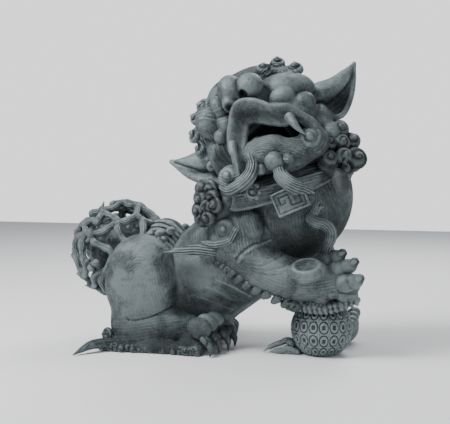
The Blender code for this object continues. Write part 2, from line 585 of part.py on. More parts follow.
# ---------------------------------------------------------------- building
def patina():
    material = bpy.data.materials.new("patina")
    material.use_nodes = True
    shader = material.node_tree.nodes["Principled BSDF"]
    shader.inputs["Base Color"].default_value = (0.150, 0.175, 0.170, 1.0)
    shader.inputs["Metallic"].default_value = 0.35
    shader.inputs["Roughness"].default_value = 0.68
    return material


def tree_of(obj):
    bm = bmesh.new()
    bm.from_mesh(obj.data)
    tree = BVHTree.FromBMesh(bm)
    bm.free()
    return tree


def closed(obj):
    bm = bmesh.new()
    bm.from_mesh(obj.data)
    good = all(e.is_manifold for e in bm.edges)
    bm.free()
    return good


def grown(obj):
    """A copy of a finished casting, larger by the fit, to cut its pocket with."""
    copy = bpy.data.objects.new(obj.name + "_cutter", obj.data.copy())
    bpy.context.scene.collection.objects.link(copy)
    copy.hide_render = True
    copy.display_type = "WIRE"
    evaluated(copy, kind="DISPLACE", strength=3.0 * FIT, mid_level=0.0)
    return copy


def volume_of(mesh):
    bm = bmesh.new()
    bm.from_mesh(mesh)
    volume = bm.calc_volume(signed=True)
    bm.free()
    return volume


def trim(obj, other, cutter):
    """Shaves the little that still overlaps; the second solver is for a cut that fails."""
    before = obj.data.copy()
    evaluated(obj, kind="BOOLEAN", operation="DIFFERENCE", object=cutter, solver="EXACT")
    largest_piece(obj.data)
    shrunk = volume_of(obj.data) < 0.7 * volume_of(before)
    if shrunk or not closed(obj) or tree_of(obj).overlap(tree_of(other)):
        obj.data = before
        evaluated(obj, kind="BOOLEAN", operation="DIFFERENCE", object=cutter, solver="MANIFOLD")
        largest_piece(obj.data)
        print("second solver", obj.name, cutter.name, closed(obj), len(tree_of(obj).overlap(tree_of(other))))


def build():
    for obj in list(bpy.data.objects):
        bpy.data.objects.remove(obj)
    castings = all_castings()
    material = patina()
    made = []
    for item in castings:
        obj = bpy.data.objects.new(item.name, mesh_of(item, castings))
        bpy.context.scene.collection.objects.link(obj)
        largest_piece(obj.data)
        for _ in range(6):
            ratio = item.faces / len(obj.data.polygons)
            if ratio < 0.97:
                evaluated(obj, kind="DECIMATE", ratio=max(ratio, 0.3), use_collapse_triangulate=True)
        for vert in obj.data.vertices:
            if item.floor and abs(vert.co.z) < 0.003:
                vert.co.z = 0.0
        made.append(obj)
    for i, obj in enumerate(made):
        for other in made[:i]:
            grow = grown(other)
            if tree_of(obj).overlap(tree_of(grow)):
                trim(obj, other, grow)
            bpy.data.objects.remove(grow)
        print(obj.name, len(obj.data.polygons), "closed" if closed(obj) else "OPEN")
    low = np.min([np.min([v.co for v in o.data.vertices], axis=0) for o in made], axis=0)
    high = np.max([np.max([v.co for v in o.data.vertices], axis=0) for o in made], axis=0)
    shift = Vector((-(low[0] + high[0]) / 2, -(low[1] + high[1]) / 2, -low[2]))
    print("shift", tuple(shift), "size", high - low)
    for obj in made:
        obj.location = shift
        obj.data.materials.clear()
        obj.data.materials.append(material)
        obj.data.shade_smooth()
        obj.data.set_sharp_from_angle(angle=math.radians(40.0))


build()
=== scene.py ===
import math

import bpy
import numpy as np
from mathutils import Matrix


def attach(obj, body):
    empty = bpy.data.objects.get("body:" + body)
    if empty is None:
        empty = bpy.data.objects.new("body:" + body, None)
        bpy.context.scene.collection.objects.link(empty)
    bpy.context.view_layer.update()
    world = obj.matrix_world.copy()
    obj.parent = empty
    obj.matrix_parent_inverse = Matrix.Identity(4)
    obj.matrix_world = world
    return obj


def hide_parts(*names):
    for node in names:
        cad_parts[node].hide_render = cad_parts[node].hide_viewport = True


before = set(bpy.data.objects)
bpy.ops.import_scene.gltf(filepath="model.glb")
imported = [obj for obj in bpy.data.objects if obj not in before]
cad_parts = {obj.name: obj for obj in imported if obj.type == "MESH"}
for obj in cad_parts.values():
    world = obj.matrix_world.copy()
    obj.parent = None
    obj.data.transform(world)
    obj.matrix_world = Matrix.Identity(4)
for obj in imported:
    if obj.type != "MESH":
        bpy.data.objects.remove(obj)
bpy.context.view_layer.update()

# The layout's ground centre lies this far from the frame's own.
SHIFT = np.array([-0.0074, 0.0006, 0.0])
FINE = 1.25              # scales every grid step
EMPTY = 0.1              # depth of the empty grid, beyond the reach of any blend
FAR = 9.0                # a distance beyond every solid
GROUND_GAP = 0.0006      # the castings end this far above the floor
HEAD = np.array([0.218, -0.033, 0.92])


# ---------------------------------------------------------------- axes
def turned(about_z, about_y, about_x):
    """Rotation about X, then Y, then Z, in degrees."""
    cx, sx = math.cos(math.radians(about_x)), math.sin(math.radians(about_x))
    cy, sy = math.cos(math.radians(about_y)), math.sin(math.radians(about_y))
    cz, sz = math.cos(math.radians(about_z)), math.sin(math.radians(about_z))
    return (np.array([[cz, -sz, 0], [sz, cz, 0], [0, 0, 1]])
            @ np.array([[cy, 0, sy], [0, 1, 0], [-sy, 0, cy]])
            @ np.array([[1, 0, 0], [0, cx, -sx], [0, sx, cx]]))


HEAD_AXES = turned(8.0, -30.0, -20.0)


def at(x, y, z):
    """A point of the head: x to the lion's left, y to the back of the skull, z to the crown."""
    return HEAD_AXES @ np.array([x, y, z], float) + HEAD


def unit(v):
    v = np.array(v, float)
    return v / np.linalg.norm(v)


def facing(normal, up=(0, 0, 1)):
    """Axes whose third column is the normal, so a flat shape lies on a surface."""
    n = unit(normal)
    x = np.cross(up, n)
    if np.linalg.norm(x) < 1e-3:
        x = np.cross((0, 1, 0), n)
    x = unit(x)
    return np.stack([x, np.cross(n, x), n], axis=1)


# ---------------------------------------------------------------- solids as signed distances
def local(m, c, x, y, z):
    """Coordinates along the columns of m, measured from c."""
    x, y, z = x - c[0], y - c[1], z - c[2]
    return [m[0, j] * x + m[1, j] * y + m[2, j] * z for j in range(3)]


def nearest(x, y, z, run):
    """The nearest point of a run from the origin: how far along it is, the offset from it and the distance."""
    t = np.clip((x * run[0] + y * run[1] + z * run[2]) / max(run @ run, 1e-12), 0.0, 1.0)
    x, y, z = x - t * run[0], y - t * run[1], z - t * run[2]
    return t, (x, y, z), np.sqrt(x ** 2 + y ** 2 + z ** 2)


def egg(centre, radii, axes=None):
    """An ellipsoid."""
    c = np.array(centre, float)
    r = np.broadcast_to(np.array(radii, float), (3,)).copy()
    m = np.eye(3) if axes is None else np.array(axes)
    reach = np.abs(m) @ r

    def depth(x, y, z):
        a, b, d = (v / r[j] for j, v in enumerate(local(m, c, x, y, z)))
        near = np.sqrt(a * a + b * b + d * d)
        slope = np.sqrt((a / r[0]) ** 2 + (b / r[1]) ** 2 + (d / r[2]) ** 2)
        return near * (near - 1.0) / np.maximum(slope, 1e-6)

    return depth, c - reach, c + reach


def rod(points, radii):
    """A bar of changing thickness through the points."""
    p = np.array(points, float)
    r = np.broadcast_to(np.array(radii, float), (len(p),)).copy()

    def depth(x, y, z):
        best = None
        for a, b, ra, rb in zip(p[:-1], p[1:], r[:-1], r[1:]):
            t, _, far = nearest(x - a[0], y - a[1], z - a[2], b - a)
            far = far - (ra + t * (rb - ra))
            best = far if best is None else np.minimum(best, far)
        return best

    return depth, (p - r[:, None]).min(axis=0), (p + r[:, None]).max(axis=0)


def slab(centre, half, axes=None, round_off=0.004):
    """A block with rounded edges."""
    c = np.array(centre, float)
    h = np.array(half, float)
    m = np.eye(3) if axes is None else np.array(axes)
    reach = np.abs(m) @ h

    def depth(x, y, z):
        q = [np.abs(v) - h[j] + round_off for j, v in enumerate(local(m, c, x, y, z))]
        out = np.sqrt(sum(np.maximum(v, 0.0) ** 2 for v in q))
        return out + np.minimum(np.maximum(np.maximum(q[0], q[1]), q[2]), 0.0) - round_off

    return depth, c - reach, c + reach


def path(points, steps=6):
    """The points joined by a smooth curve."""
    p = [np.array(q, float) for q in points]
    ends = [2 * p[0] - p[1]] + p + [2 * p[-1] - p[-2]]
    out = []
    for p0, p1, p2, p3 in zip(ends[:-3], ends[1:-2], ends[2:-1], ends[3:]):
        for i in range(steps):
            t = i / steps
            out.append(0.5 * (2 * p1 + (p2 - p0) * t + (2 * p0 - 5 * p1 + 4 * p2 - p3) * t ** 2
                              + (3 * p1 - p0 - 3 * p2 + p3) * t ** 3))
    out.append(p[-1])
    return np.array(out)


def lock(points, radii):
    """A curving lock, its thickness changing along it."""
    line = path(points)
    along = np.linspace(0.0, len(radii) - 1.0, len(line))
    return rod(line, np.interp(along, np.arange(len(radii)), radii))


# ---------------------------------------------------------------- the sculptor's block
class Block:
    """Space on a grid. Solids are melted into it, cut out of it, or pressed into its surface."""

    def __init__(self, low, high, step):
        self.step = step * FINE
        self.low = np.array(low, float)
        count = np.ceil((np.array(high, float) - self.low) / self.step).astype(int) + 1
        self.f = np.full(count, EMPTY, np.float32)
        self.axis = [(self.low[i] + self.step * np.arange(count[i])).astype(np.float32) for i in range(3)]
        # The three marks are hair phase, hair weight and painted shade, which darkens the colour where shade
        # falls.
        self.marks = [np.zeros(count, np.float32) for _ in range(3)]     # hair phase, hair weight, soot

    def part(self, low, high, margin):
        """The slices of the grid that a box reaches, and its coordinates."""
        cut = []
        for i in range(3):
            a = int(math.floor((low[i] - margin - self.low[i]) / self.step))
            b = int(math.ceil((high[i] + margin - self.low[i]) / self.step)) + 1
            a, b = max(a, 0), min(b, len(self.axis[i]))
            if a >= b:
                return None, None
            cut.append(slice(a, b))
        x, y, z = (self.axis[i][cut[i]] for i in range(3))
        return tuple(cut), (x[:, None, None], y[None, :, None], z[None, None, :])

    def melt(self, solid, blend, sign, margin):
        """Joins a solid on with sign 1, or cuts it away with sign -1."""
        depth, low, high = solid
        part, xyz = self.part(low, high, blend + margin * self.step)
        if part is not None:
            new, old = sign * depth(*xyz), self.f[part]
            h = np.clip(0.5 + sign * 0.5 * (old - new) / blend, 0.0, 1.0)
            self.f[part] = old + (new - old) * h - sign * blend * h * (1.0 - h)

    def add(self, solid, blend=0.004):
        """Melts a solid in, with a fillet about as wide as the blend."""
        self.melt(solid, blend, 1.0, 4)

    def cut(self, solid, blend=0.003):
        """Cuts a solid out."""
        self.melt(solid, blend, -1.0, 2)

    def crease(self, points, width, height, reach, flat=(0, 1, 0)):
        """Presses a smooth curve into whatever surface lies along the flat direction."""
        self.press(path(points), width, height, reach, flat)

    def tress(self, points, radii, blend, pitch, reach, depth, across=(0, -1, 0)):
        """A lock with hair combed along it."""
        self.add(lock(points, radii), blend)
        self.hair(path(points), pitch, reach, depth=depth, across=across)

    def press(self, points, width, height, reach=0.05, flat=None):
        """Raises (or with a negative height engraves) a line along the points."""
        p = np.array(points, float)
        w = np.broadcast_to(np.array(width, float), (len(p),))
        low, high = p.min(axis=0), p.max(axis=0)
        if flat is not None:
            n = np.abs(unit(flat))
            low, high = low - reach * n, high + reach * n
        cut, (x, y, z) = self.part(low, high, 3.0 * float(w.max()))
        best = np.full(self.f[cut].shape, FAR, np.float32)
        for a, b, wa, wb in zip(p[:-1], p[1:], w[:-1], w[1:]):
            px, py, pz = x - a[0], y - a[1], z - a[2]
            d = b - a
            if flat is not None:
                n = unit(flat)
                s = px * n[0] + py * n[1] + pz * n[2]
                px, py, pz = px - s * n[0], py - s * n[1], pz - s * n[2]
                d = d - (d @ n) * n
            t, _, far = nearest(px, py, pz, d)
            best = np.minimum(best, far / (wa + t * (wb - wa)))
        self.f[cut] -= np.exp(-(best * 1.6) ** 2) * height

    def curl(self, centre, normal, radius, turns=2.4, depth=0.0035, hand=1.0, dome=0.75, start=0.0,
             nub=0.3, blend=0.003):
        """A snail curl: a dome with a spiral groove wound into it and a nub in the middle."""
        m = facing(normal)
        c = np.array(centre, float)
        self.add(egg(c, (radius, radius, radius * dome), m), blend)
        cut, (x, y, z) = self.part(c - radius * 1.15, c + radius * 1.15, self.step)
        a, b, d = local(m, c, x, y, z)
        far = np.sqrt(a * a + b * b) / radius
        angle = np.arctan2(b, a) * hand
        wave = np.cos(2.0 * math.pi * turns * far - angle + start)
        groove = np.clip(0.5 + 0.5 * wave, 0.0, 1.0) ** 1.6
        mask = np.clip((far - nub * 0.7) / 0.12, 0.0, 1.0) * np.clip((1.08 - far) / 0.18, 0.0, 1.0)
        mask = mask * np.clip(d / (0.2 * radius) + 1.0, 0.0, 1.0)
        self.f[cut] += (groove * mask * depth).astype(np.float32)
        self.add(egg(c + m[:, 2] * radius * (dome + 0.02),
                     (radius * nub, radius * nub, radius * nub * 0.9), m), blend)

    def sheet(self, one, two, thick, blend=0.008, steps=5, end=1.0):
        """A plate between two curves that have the same number of points."""
        a, b = path(one, 4), path(two, 4)
        radii = thick * np.interp(np.linspace(0, 1, len(a)), (0, 0.7, 1), (1, 1, end))
        for k in range(steps):
            t = k / (steps - 1.0)
            self.add(rod(a + (b - a) * t, radii), blend)

    def fur(self, phase, weight):
        """Marks hair lines over the whole block from a phase and a weight, both functions of place."""
        x, y, z = self.axis
        x, y, z = x[:, None, None], y[None, :, None], z[None, None, :]
        w = np.broadcast_to(weight(x, y, z), self.f.shape)
        stronger = w > self.marks[1]
        self.marks[0][:] = np.where(stronger, np.broadcast_to(phase(x, y, z), self.f.shape), self.marks[0])
        self.marks[1][:] = np.where(stronger, w, self.marks[1])

    def painted_shade(self, solid, amount=1.0, soft=0.05):
        """Paints shade: darkens the colour of the sheltered region round a solid."""
        depth, low, high = solid
        cut, xyz = self.part(low, high, soft)
        if cut is not None:
            shade = np.clip(1.0 - depth(*xyz) / soft, 0.0, 1.0) * amount
            self.marks[2][cut] = np.maximum(self.marks[2][cut], shade)

    def hair(self, line, pitch, reach, depth=0.0, weight=1.0, across=(0, -1, 0)):
        """Marks hair lines: they run along the line and are spaced across it by the pitch."""
        p = np.array(line, float)
        cut, (x, y, z) = self.part(p.min(axis=0), p.max(axis=0), reach)
        best = np.full(self.f[cut].shape, FAR, np.float32)
        side = np.zeros(self.f[cut].shape, np.float32)
        n = unit(across)
        for a, b in zip(p[:-1], p[1:]):
            d = b - a
            _, (px, py, pz), far = nearest(x - a[0], y - a[1], z - a[2], d)
            q = unit(np.cross(unit(d), n))
            offset = px * q[0] + py * q[1] + pz * q[2]
            nearer = far < best
            best = np.where(nearer, far, best)
            side = np.where(nearer, offset, side)
        mask = np.clip((reach - best) / (0.35 * reach), 0.0, 1.0) * weight
        if depth:
            groove = 0.5 - 0.5 * np.cos(2 * math.pi * side / pitch)
            self.f[cut] += (mask * depth * groove).astype(np.float32)
        stronger = mask > self.marks[1][cut]
        self.marks[0][cut] = np.where(stronger, side / pitch, self.marks[0][cut])
        self.marks[1][cut] = np.where(stronger, mask, self.marks[1][cut])


def blur(f, n):
    """A box blur over n cells each way, done axis by axis."""
    for axis in range(3):
        pad = [(0, 0)] * 3
        pad[axis] = (n + 1, n)
        c = np.cumsum(np.pad(f, pad, mode="edge"), axis=axis, dtype=np.float64)
        a = [slice(None)] * 3
        b = [slice(None)] * 3
        a[axis], b[axis] = slice(2 * n + 1, None), slice(0, -(2 * n + 1))
        f = ((c[tuple(a)] - c[tuple(b)]) / (2 * n + 1)).astype(np.float32)
    return f


def sample(f, low, step, points):
    """The grid's value at points, between its cells."""
    g = (points - low) / step
    top = np.array(f.shape) - 1.001
    g = np.clip(g, 0.0, top)
    i = g.astype(int)
    t = g - i
    out = np.zeros(len(points))
    for k in range(8):
        o = np.array([k & 1, (k >> 1) & 1, (k >> 2) & 1])
        w = np.prod(np.where(o, t, 1.0 - t), axis=1)
        j = i + o
        out += w * f[j[:, 0], j[:, 1], j[:, 2]]
    return out


def nets(f, low, step):
    """Quads where the grid crosses zero, with one point in each cell that it crosses."""
    inside = f < 0.0
    count = np.zeros(np.array(f.shape) - 1, np.int8)
    for k in range(8):
        o = (k & 1, (k >> 1) & 1, (k >> 2) & 1)
        count += inside[o[0]:f.shape[0] - 1 + o[0], o[1]:f.shape[1] - 1 + o[1], o[2]:f.shape[2] - 1 + o[2]]
    cells = np.argwhere((count > 0) & (count < 8))
    number = np.full(count.shape, -1, np.int64)
    number[cells[:, 0], cells[:, 1], cells[:, 2]] = np.arange(len(cells))
    corner = np.array([[k & 1, (k >> 1) & 1, (k >> 2) & 1] for k in range(8)])
    value = np.stack([f[cells[:, 0] + o[0], cells[:, 1] + o[1], cells[:, 2] + o[2]] for o in corner],
                     axis=1)
    total = np.zeros((len(cells), 3))
    hits = np.zeros(len(cells))
    for a in range(8):
        for bit in (1, 2, 4):
            if a & bit:
                continue
            b = a | bit
            va, vb = value[:, a], value[:, b]
            cross = (va < 0.0) != (vb < 0.0)
            t = np.where(cross, va / np.where(cross, va - vb, 1.0), 0.0)
            total += np.where(cross[:, None], corner[a] + t[:, None] * (corner[b] - corner[a]), 0.0)
            hits += cross
    points = (cells + total / hits[:, None]) * step + low
    quads = []
    for axis in range(3):
        u, v = [(1, 2), (2, 0), (0, 1)][axis]
        a = [slice(1, -1)] * 3
        b = [slice(1, -1)] * 3
        a[axis], b[axis] = slice(0, -1), slice(1, None)
        one, two = inside[tuple(a)], inside[tuple(b)]
        where = np.argwhere(one != two)
        offset = np.ones(3, int)
        offset[axis] = 0
        where = where + offset
        first = inside[where[:, 0], where[:, 1], where[:, 2]]
        ring = []
        for du, dv in ((-1, -1), (0, -1), (0, 0), (-1, 0)):
            w = where.copy()
            w[:, u] += du
            w[:, v] += dv
            ring.append(number[w[:, 0], w[:, 1], w[:, 2]])
        ring = np.stack(ring, axis=1)
        ring[~first] = ring[~first][:, ::-1]
        quads.append(ring)
    return points, np.concatenate(quads)


def set_mesh(name, points, quads):
    mesh = bpy.data.meshes.new(name)
    mesh.vertices.add(len(points))
    mesh.vertices.foreach_set("co", points.astype(np.float32).ravel())
    mesh.loops.add(quads.size)
    mesh.loops.foreach_set("vertex_index", quads.astype(np.int32).ravel())
    mesh.polygons.add(len(quads))
    mesh.polygons.foreach_set("loop_start", np.arange(0, quads.size, 4, dtype=np.int32))
    mesh.polygons.foreach_set("use_smooth", np.ones(len(quads), bool))
    mesh.update()
    mesh.validate()
    return mesh


def finish_piece(name, points, quads, tint, material, nodes):
    """Makes the object, stores its crest, hollow, hair and painted-shade marks, and ties it to the CAD."""
    mesh = set_mesh(name, points + SHIFT, quads)
    for key, data in tint.items():
        mesh.attributes.new(key, "FLOAT", "POINT").data.foreach_set("value", data.astype(np.float32))
    mesh.materials.append(material)
    obj = bpy.data.objects.new(name, mesh)
    bpy.context.scene.collection.objects.link(obj)
    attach(obj, "root")
    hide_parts(*nodes)


def cast(name, block, material, nodes=None, both=False, wear=0.01, nudge=0.0):
    """Skins a block and makes the piece, which replaces the CAD node of its name or the nodes given.

    With both, the far flank gets its mirror image, moved along X by the nudge.
    """
    step = block.step
    nodes = nodes or [name]
    f = np.maximum(block.f, GROUND_GAP - block.axis[2][None, None, :])
    f[0], f[-1], f[:, 0], f[:, -1], f[:, :, 0], f[:, :, -1] = (0.01,) * 6
    points, quads = nets(f, block.low, step)
    # The reach sets the scale of the crest and hollow marks, which the material turns into wear and painted
    # highlight on crests, and patina and painted shade in hollows.
    wide = blur(f, max(1, int(round(wear / step))))
    convex = sample(wide, block.low, step, points) / wear
    broad = blur(wide, max(2, int(round(2.5 * wear / step))))
    hollow = sample(broad, block.low, step, points) / (2.5 * wear)
    tint = {"convex": np.clip(0.5 + 2.2 * convex, 0, 1), "broad": np.clip(0.5 + 1.6 * hollow, 0, 1)}
    for key, field in zip(("strand", "combed", "painted_shade"), block.marks):
        tint[key] = sample(field, block.low, step, points)
    finish_piece(name, points, quads, tint, material, nodes)
    if both:
        other = points * (1.0, -1.0, 1.0) + (nudge, 0.0, 0.0)
        far_name, *far_nodes = ["far_" + n.replace("near_", "") for n in [name] + nodes]
        finish_piece(far_name, other, quads[:, ::-1], tint, material, far_nodes)


# ---------------------------------------------------------------- bronze
def patina(name, dark, mid, pale, wear_and_highlight=0.6, rough=0.56, stain=0.35, speck=1.0):
    """Weathered bronze: mottled grey-green, pale on the crests (partly rubbed wear, partly painted highlight),
    dark and brown in the hollows (patina and dirt, partly painted shade), and darkened by painted shade where
    the piece's marks say shade falls.
    """
    material = bpy.data.materials.new(name)
    material.use_nodes = True
    tree = material.node_tree
    nodes, links = tree.nodes, tree.links
    shader = nodes["Principled BSDF"]
    shader.inputs["Metallic"].default_value = 0.35
    shader.inputs["Specular IOR Level"].default_value = 0.35

    def link(a, b):
        links.new(a, b)

    def noise(scale, detail, roughness=0.6, distortion=0.0):
        node = nodes.new("ShaderNodeTexNoise")
        node.inputs["Scale"].default_value = scale
        node.inputs["Detail"].default_value = detail
        node.inputs["Roughness"].default_value = roughness
        node.inputs["Distortion"].default_value = distortion
        link(place.outputs["Object"], node.inputs["Vector"])
        return node.outputs["Fac"]

    def ramp(value, low, high, a=0.0, b=1.0):
        node = nodes.new("ShaderNodeMapRange")
        node.interpolation_type = "SMOOTHSTEP"
        node.inputs["From Min"].default_value = low
        node.inputs["From Max"].default_value = high
        node.inputs["To Min"].default_value = a
        node.inputs["To Max"].default_value = b
        link(value, node.inputs["Value"])
        return node.outputs["Result"]

    def maths(kind, a, b):
        node = nodes.new("ShaderNodeMath")
        node.operation = kind
        for slot, value in zip(node.inputs, (a, b)):
            if isinstance(value, (int, float)):
                slot.default_value = value
            else:
                link(value, slot)
        return node.outputs["Value"]

    def mix(fac, a, b):
        node = nodes.new("ShaderNodeMix")
        node.data_type = "RGBA"
        link(fac, node.inputs["Factor"])
        for key, value in (("A", a), ("B", b)):
            slot = [s for s in node.inputs if s.name == key and s.type == "RGBA"][0]
            if isinstance(value, tuple):
                slot.default_value = (*value, 1.0)
            else:
                link(value, slot)
        return [s for s in node.outputs if s.type == "RGBA"][0]

    def mark(key):
        node = nodes.new("ShaderNodeAttribute")
        node.attribute_name = key
        return node.outputs["Fac"]

    place = nodes.new("ShaderNodeTexCoord")
    broad = noise(6.0, 5.0, 0.62, 0.4)
    mottle = noise(38.0, 6.0, 0.68, 0.3)
    grain = noise(210.0, 4.0, 0.7)
    pits = noise(95.0, 3.0, 0.55)
    drift = maths("MULTIPLY", mottle, 1.3)
    lines = maths("SINE", maths("MULTIPLY", maths("ADD", mark("strand"), drift), 2.0 * math.pi), 0.0)
    colour = mix(ramp(mottle, 0.38, 0.62), dark, mid)
    colour = mix(ramp(broad, 0.44, 0.6, 0.0, 0.7), colour, pale)
    tufts = maths("MULTIPLY", ramp(lines, 0.1, -0.9, 0.0, 0.62), mark("combed"))
    colour = mix(tufts, colour, dark)
    # Pale on the convex crests: partly rubbed wear, partly a painted highlight for crests lit from above.
    crest_wear_and_highlight = maths("MULTIPLY", ramp(mark("convex"), 0.52, 0.86), ramp(mottle, 0.25, 0.65, 0.45, 1.0))
    colour = mix(maths("MULTIPLY", crest_wear_and_highlight, wear_and_highlight), colour, pale)
    # Dark in the hollows: partly patina and dirt that gather there, partly painted shade standing in for the
    # occlusion of creases and recesses.
    hollow_patina_and_shade = maths("MAXIMUM", ramp(mark("convex"), 0.42, 0.08), ramp(mark("broad"), 0.4, 0.1))
    hollow_patina_and_shade = maths("MULTIPLY", hollow_patina_and_shade, 0.8)
    colour = mix(hollow_patina_and_shade, colour, tuple(0.2 * c for c in dark))
    moss = maths("MULTIPLY", ramp(noise(11.0, 5.0, 0.66, 0.8), 0.5, 0.66), stain)
    colour = mix(moss, colour, (0.06, 0.062, 0.042))
    earth = maths("MULTIPLY", ramp(noise(17.0, 4.0, 0.6, 0.5), 0.5, 0.68), maths("ADD", hollow_patina_and_shade, 0.12))
    colour = mix(maths("MINIMUM", earth, 0.35), colour, (0.05, 0.045, 0.034))
    colour = mix(ramp(grain, 0.35, 0.75, 0.0, 0.45 * speck), colour, pale)
    colour = mix(ramp(pits, 0.36, 0.26, 0.0, 0.65 * speck), colour, tuple(0.4 * c for c in dark))
    # Painted shade: the colour is taken towards near-black where the painted-shade mark is set, and those
    # places are made rougher.
    painted_shade_amount = maths("MULTIPLY", maths("MINIMUM", mark("painted_shade"), 1.0), 0.96)
    colour = mix(painted_shade_amount, colour, tuple(0.08 * c for c in dark))
    link(colour, shader.inputs["Base Color"])
    gloss = maths("ADD", ramp(mottle, 0.3, 0.7, rough - 0.1, rough + 0.12), maths("MULTIPLY", crest_wear_and_highlight, -0.16))
    gloss = maths("MINIMUM", maths("ADD", gloss, maths("ADD", maths("MULTIPLY", hollow_patina_and_shade, 0.4), painted_shade_amount)), 1.0)
    link(gloss, shader.inputs["Roughness"])

    combed = maths("MULTIPLY", maths("MULTIPLY", lines, 0.75), mark("combed"))
    height = maths("ADD", maths("MULTIPLY", mottle, 1.6), maths("MULTIPLY", grain, 0.6))
    height = maths("ADD", height, maths("MULTIPLY", pits, 1.1))
    height = maths("ADD", height, combed)
    bump = nodes.new("ShaderNodeBump")
    bump.inputs["Strength"].default_value = 0.7
    bump.inputs["Distance"].default_value = 0.0035
    link(height, bump.inputs["Height"])
    link(bump.outputs["Normal"], shader.inputs["Normal"])
    return material


DARK = (0.024, 0.032, 0.034)
MID = (0.062, 0.08, 0.085)
PALE = (0.225, 0.272, 0.282)
BODY = patina("green_grey_patina", DARK, MID, PALE, wear_and_highlight=0.55)
WORN = patina("worn_patina", DARK, tuple(1.08 * c for c in MID), tuple(1.1 * c for c in PALE), wear_and_highlight=0.75,
              stain=0.2)
# A darker copy of the patina: partly the dark patina of the manes and tail core, partly painted shade for the
# locks, fringes and claws that sit in shadow.
DARK_PATINA_AND_SHADE = patina("dark_patina", tuple(0.6 * c for c in DARK), tuple(0.62 * c for c in MID),
               tuple(0.62 * c for c in PALE), wear_and_highlight=0.55, stain=0.25)


# ---------------------------------------------------------------- body
def make_body():
    b = Block((-0.47, -0.3, -0.02), (0.66, 0.3, 0.92), 0.0044)
    b.add(rod([(-0.1, 0, 0.235), (0.14, 0, 0.425), (0.31, 0, 0.6)], (0.205, 0.215, 0.2)), 0.06)
    b.add(egg((-0.22, 0, 0.22), (0.19, 0.17, 0.2)), 0.06)
    b.add(egg((0.345, 0, 0.63), (0.232, 0.2, 0.25)), 0.05)
    b.add(rod([(0.26, 0, 0.66), (0.24, -0.01, 0.82)], (0.215, 0.2)), 0.05)
    for s in (-1, 1):
        y = s * 0.21
        b.add(egg((0.16, s * 0.115, 0.46), (0.155, 0.112, 0.14)), 0.05)
        b.add(egg((0.15, s * 0.17, 0.3), (0.11, 0.055, 0.08), turned(0, 30, 0)), 0.04)
        for line in (((0.06, y, 0.302), (0.073, y, 0.297), (0.144, y, 0.272), (0.206, y, 0.238)),
                     ((0.018, y, 0.268), (0.03, y, 0.263), (0.081, y, 0.241), (0.135, y, 0.207)),
                     ((-0.003, y, 0.223), (0.009, y, 0.218), (0.051, y, 0.199), (0.102, y, 0.165))):
            b.crease(line, 0.006, 0.005, 0.12)
            below = [(px - 0.012, py, pz - 0.02) for px, py, pz in line]
            b.crease(below, 0.016, -0.003, 0.12)
        for line in (((-0.075, y, 0.375), (-0.07, y, 0.3), (-0.055, y, 0.21)),
                     ((-0.02, y, 0.385), (-0.012, y, 0.33), (0.0, y, 0.27))):
            b.crease(line, 0.016, 0.0016, 0.12)
        # Painted shade low on the flanks, in front of the thigh and under the belly.
        b.painted_shade(egg((-0.1, s * 0.22, 0.18), (0.06, 0.05, 0.15)), 0.45, 0.08)
        b.painted_shade(egg((0.12, s * 0.2, 0.17), (0.12, 0.05, 0.04)), 0.45, 0.08)
        tuft = [(0.19, s * 0.215, 0.59), (0.208, s * 0.222, 0.545), (0.222, s * 0.224, 0.5),
                (0.236, s * 0.22, 0.452)]
        b.tress(tuft, (0.014, 0.042, 0.044, 0.018), 0.006, 0.0105, 0.06, 0.003, (0, -s, 0))
    # Painted shade on the chest, and near-black painted shade where the body shows inside the open mouth.
    b.painted_shade(egg((0.42, 0, 0.46), (0.14, 0.24, 0.1)), 0.32, 0.1)
    b.painted_shade(egg(at(0.02, -0.1, -0.12), (0.16, 0.17, 0.09), HEAD_AXES), 3.0, 0.03)
    b.press(path([(0.03, 0, 0.615), (-0.05, 0, 0.548), (-0.16, 0, 0.455)]), 0.014, 0.006)
    for side in (-1, 1):
        b.press(path([(0.03, side * 0.035, 0.612), (-0.05, side * 0.035, 0.545),
                      (-0.16, side * 0.035, 0.452)]), 0.009, -0.003)
        for k in range(7):
            x, z = 0.01 - 0.026 * k, 0.598 - 0.022 * k
            b.press(path([(x, side * 0.012, z), (x - 0.004, side * 0.06, z - 0.01),
                          (x + 0.004, side * 0.11, z - 0.045)]), 0.006, -0.0025)
    b.fur(lambda x, y, z: (x + 0.25 * z + 0.014 * np.sin(17.0 * z) + 0.006 * np.sin(57.0 * x)) / 0.01,
          lambda x, y, z: (0.22 + 0.45 * np.clip((z - 0.35) / 0.2, 0, 1) * np.clip((x - 0.2) / 0.1, 0, 1)
                           + 0 * y))
    cast("lion_body", b, BODY, ["torso", "forequarters"])


# ---------------------------------------------------------------- hind legs
SPAN_Y = 0.13


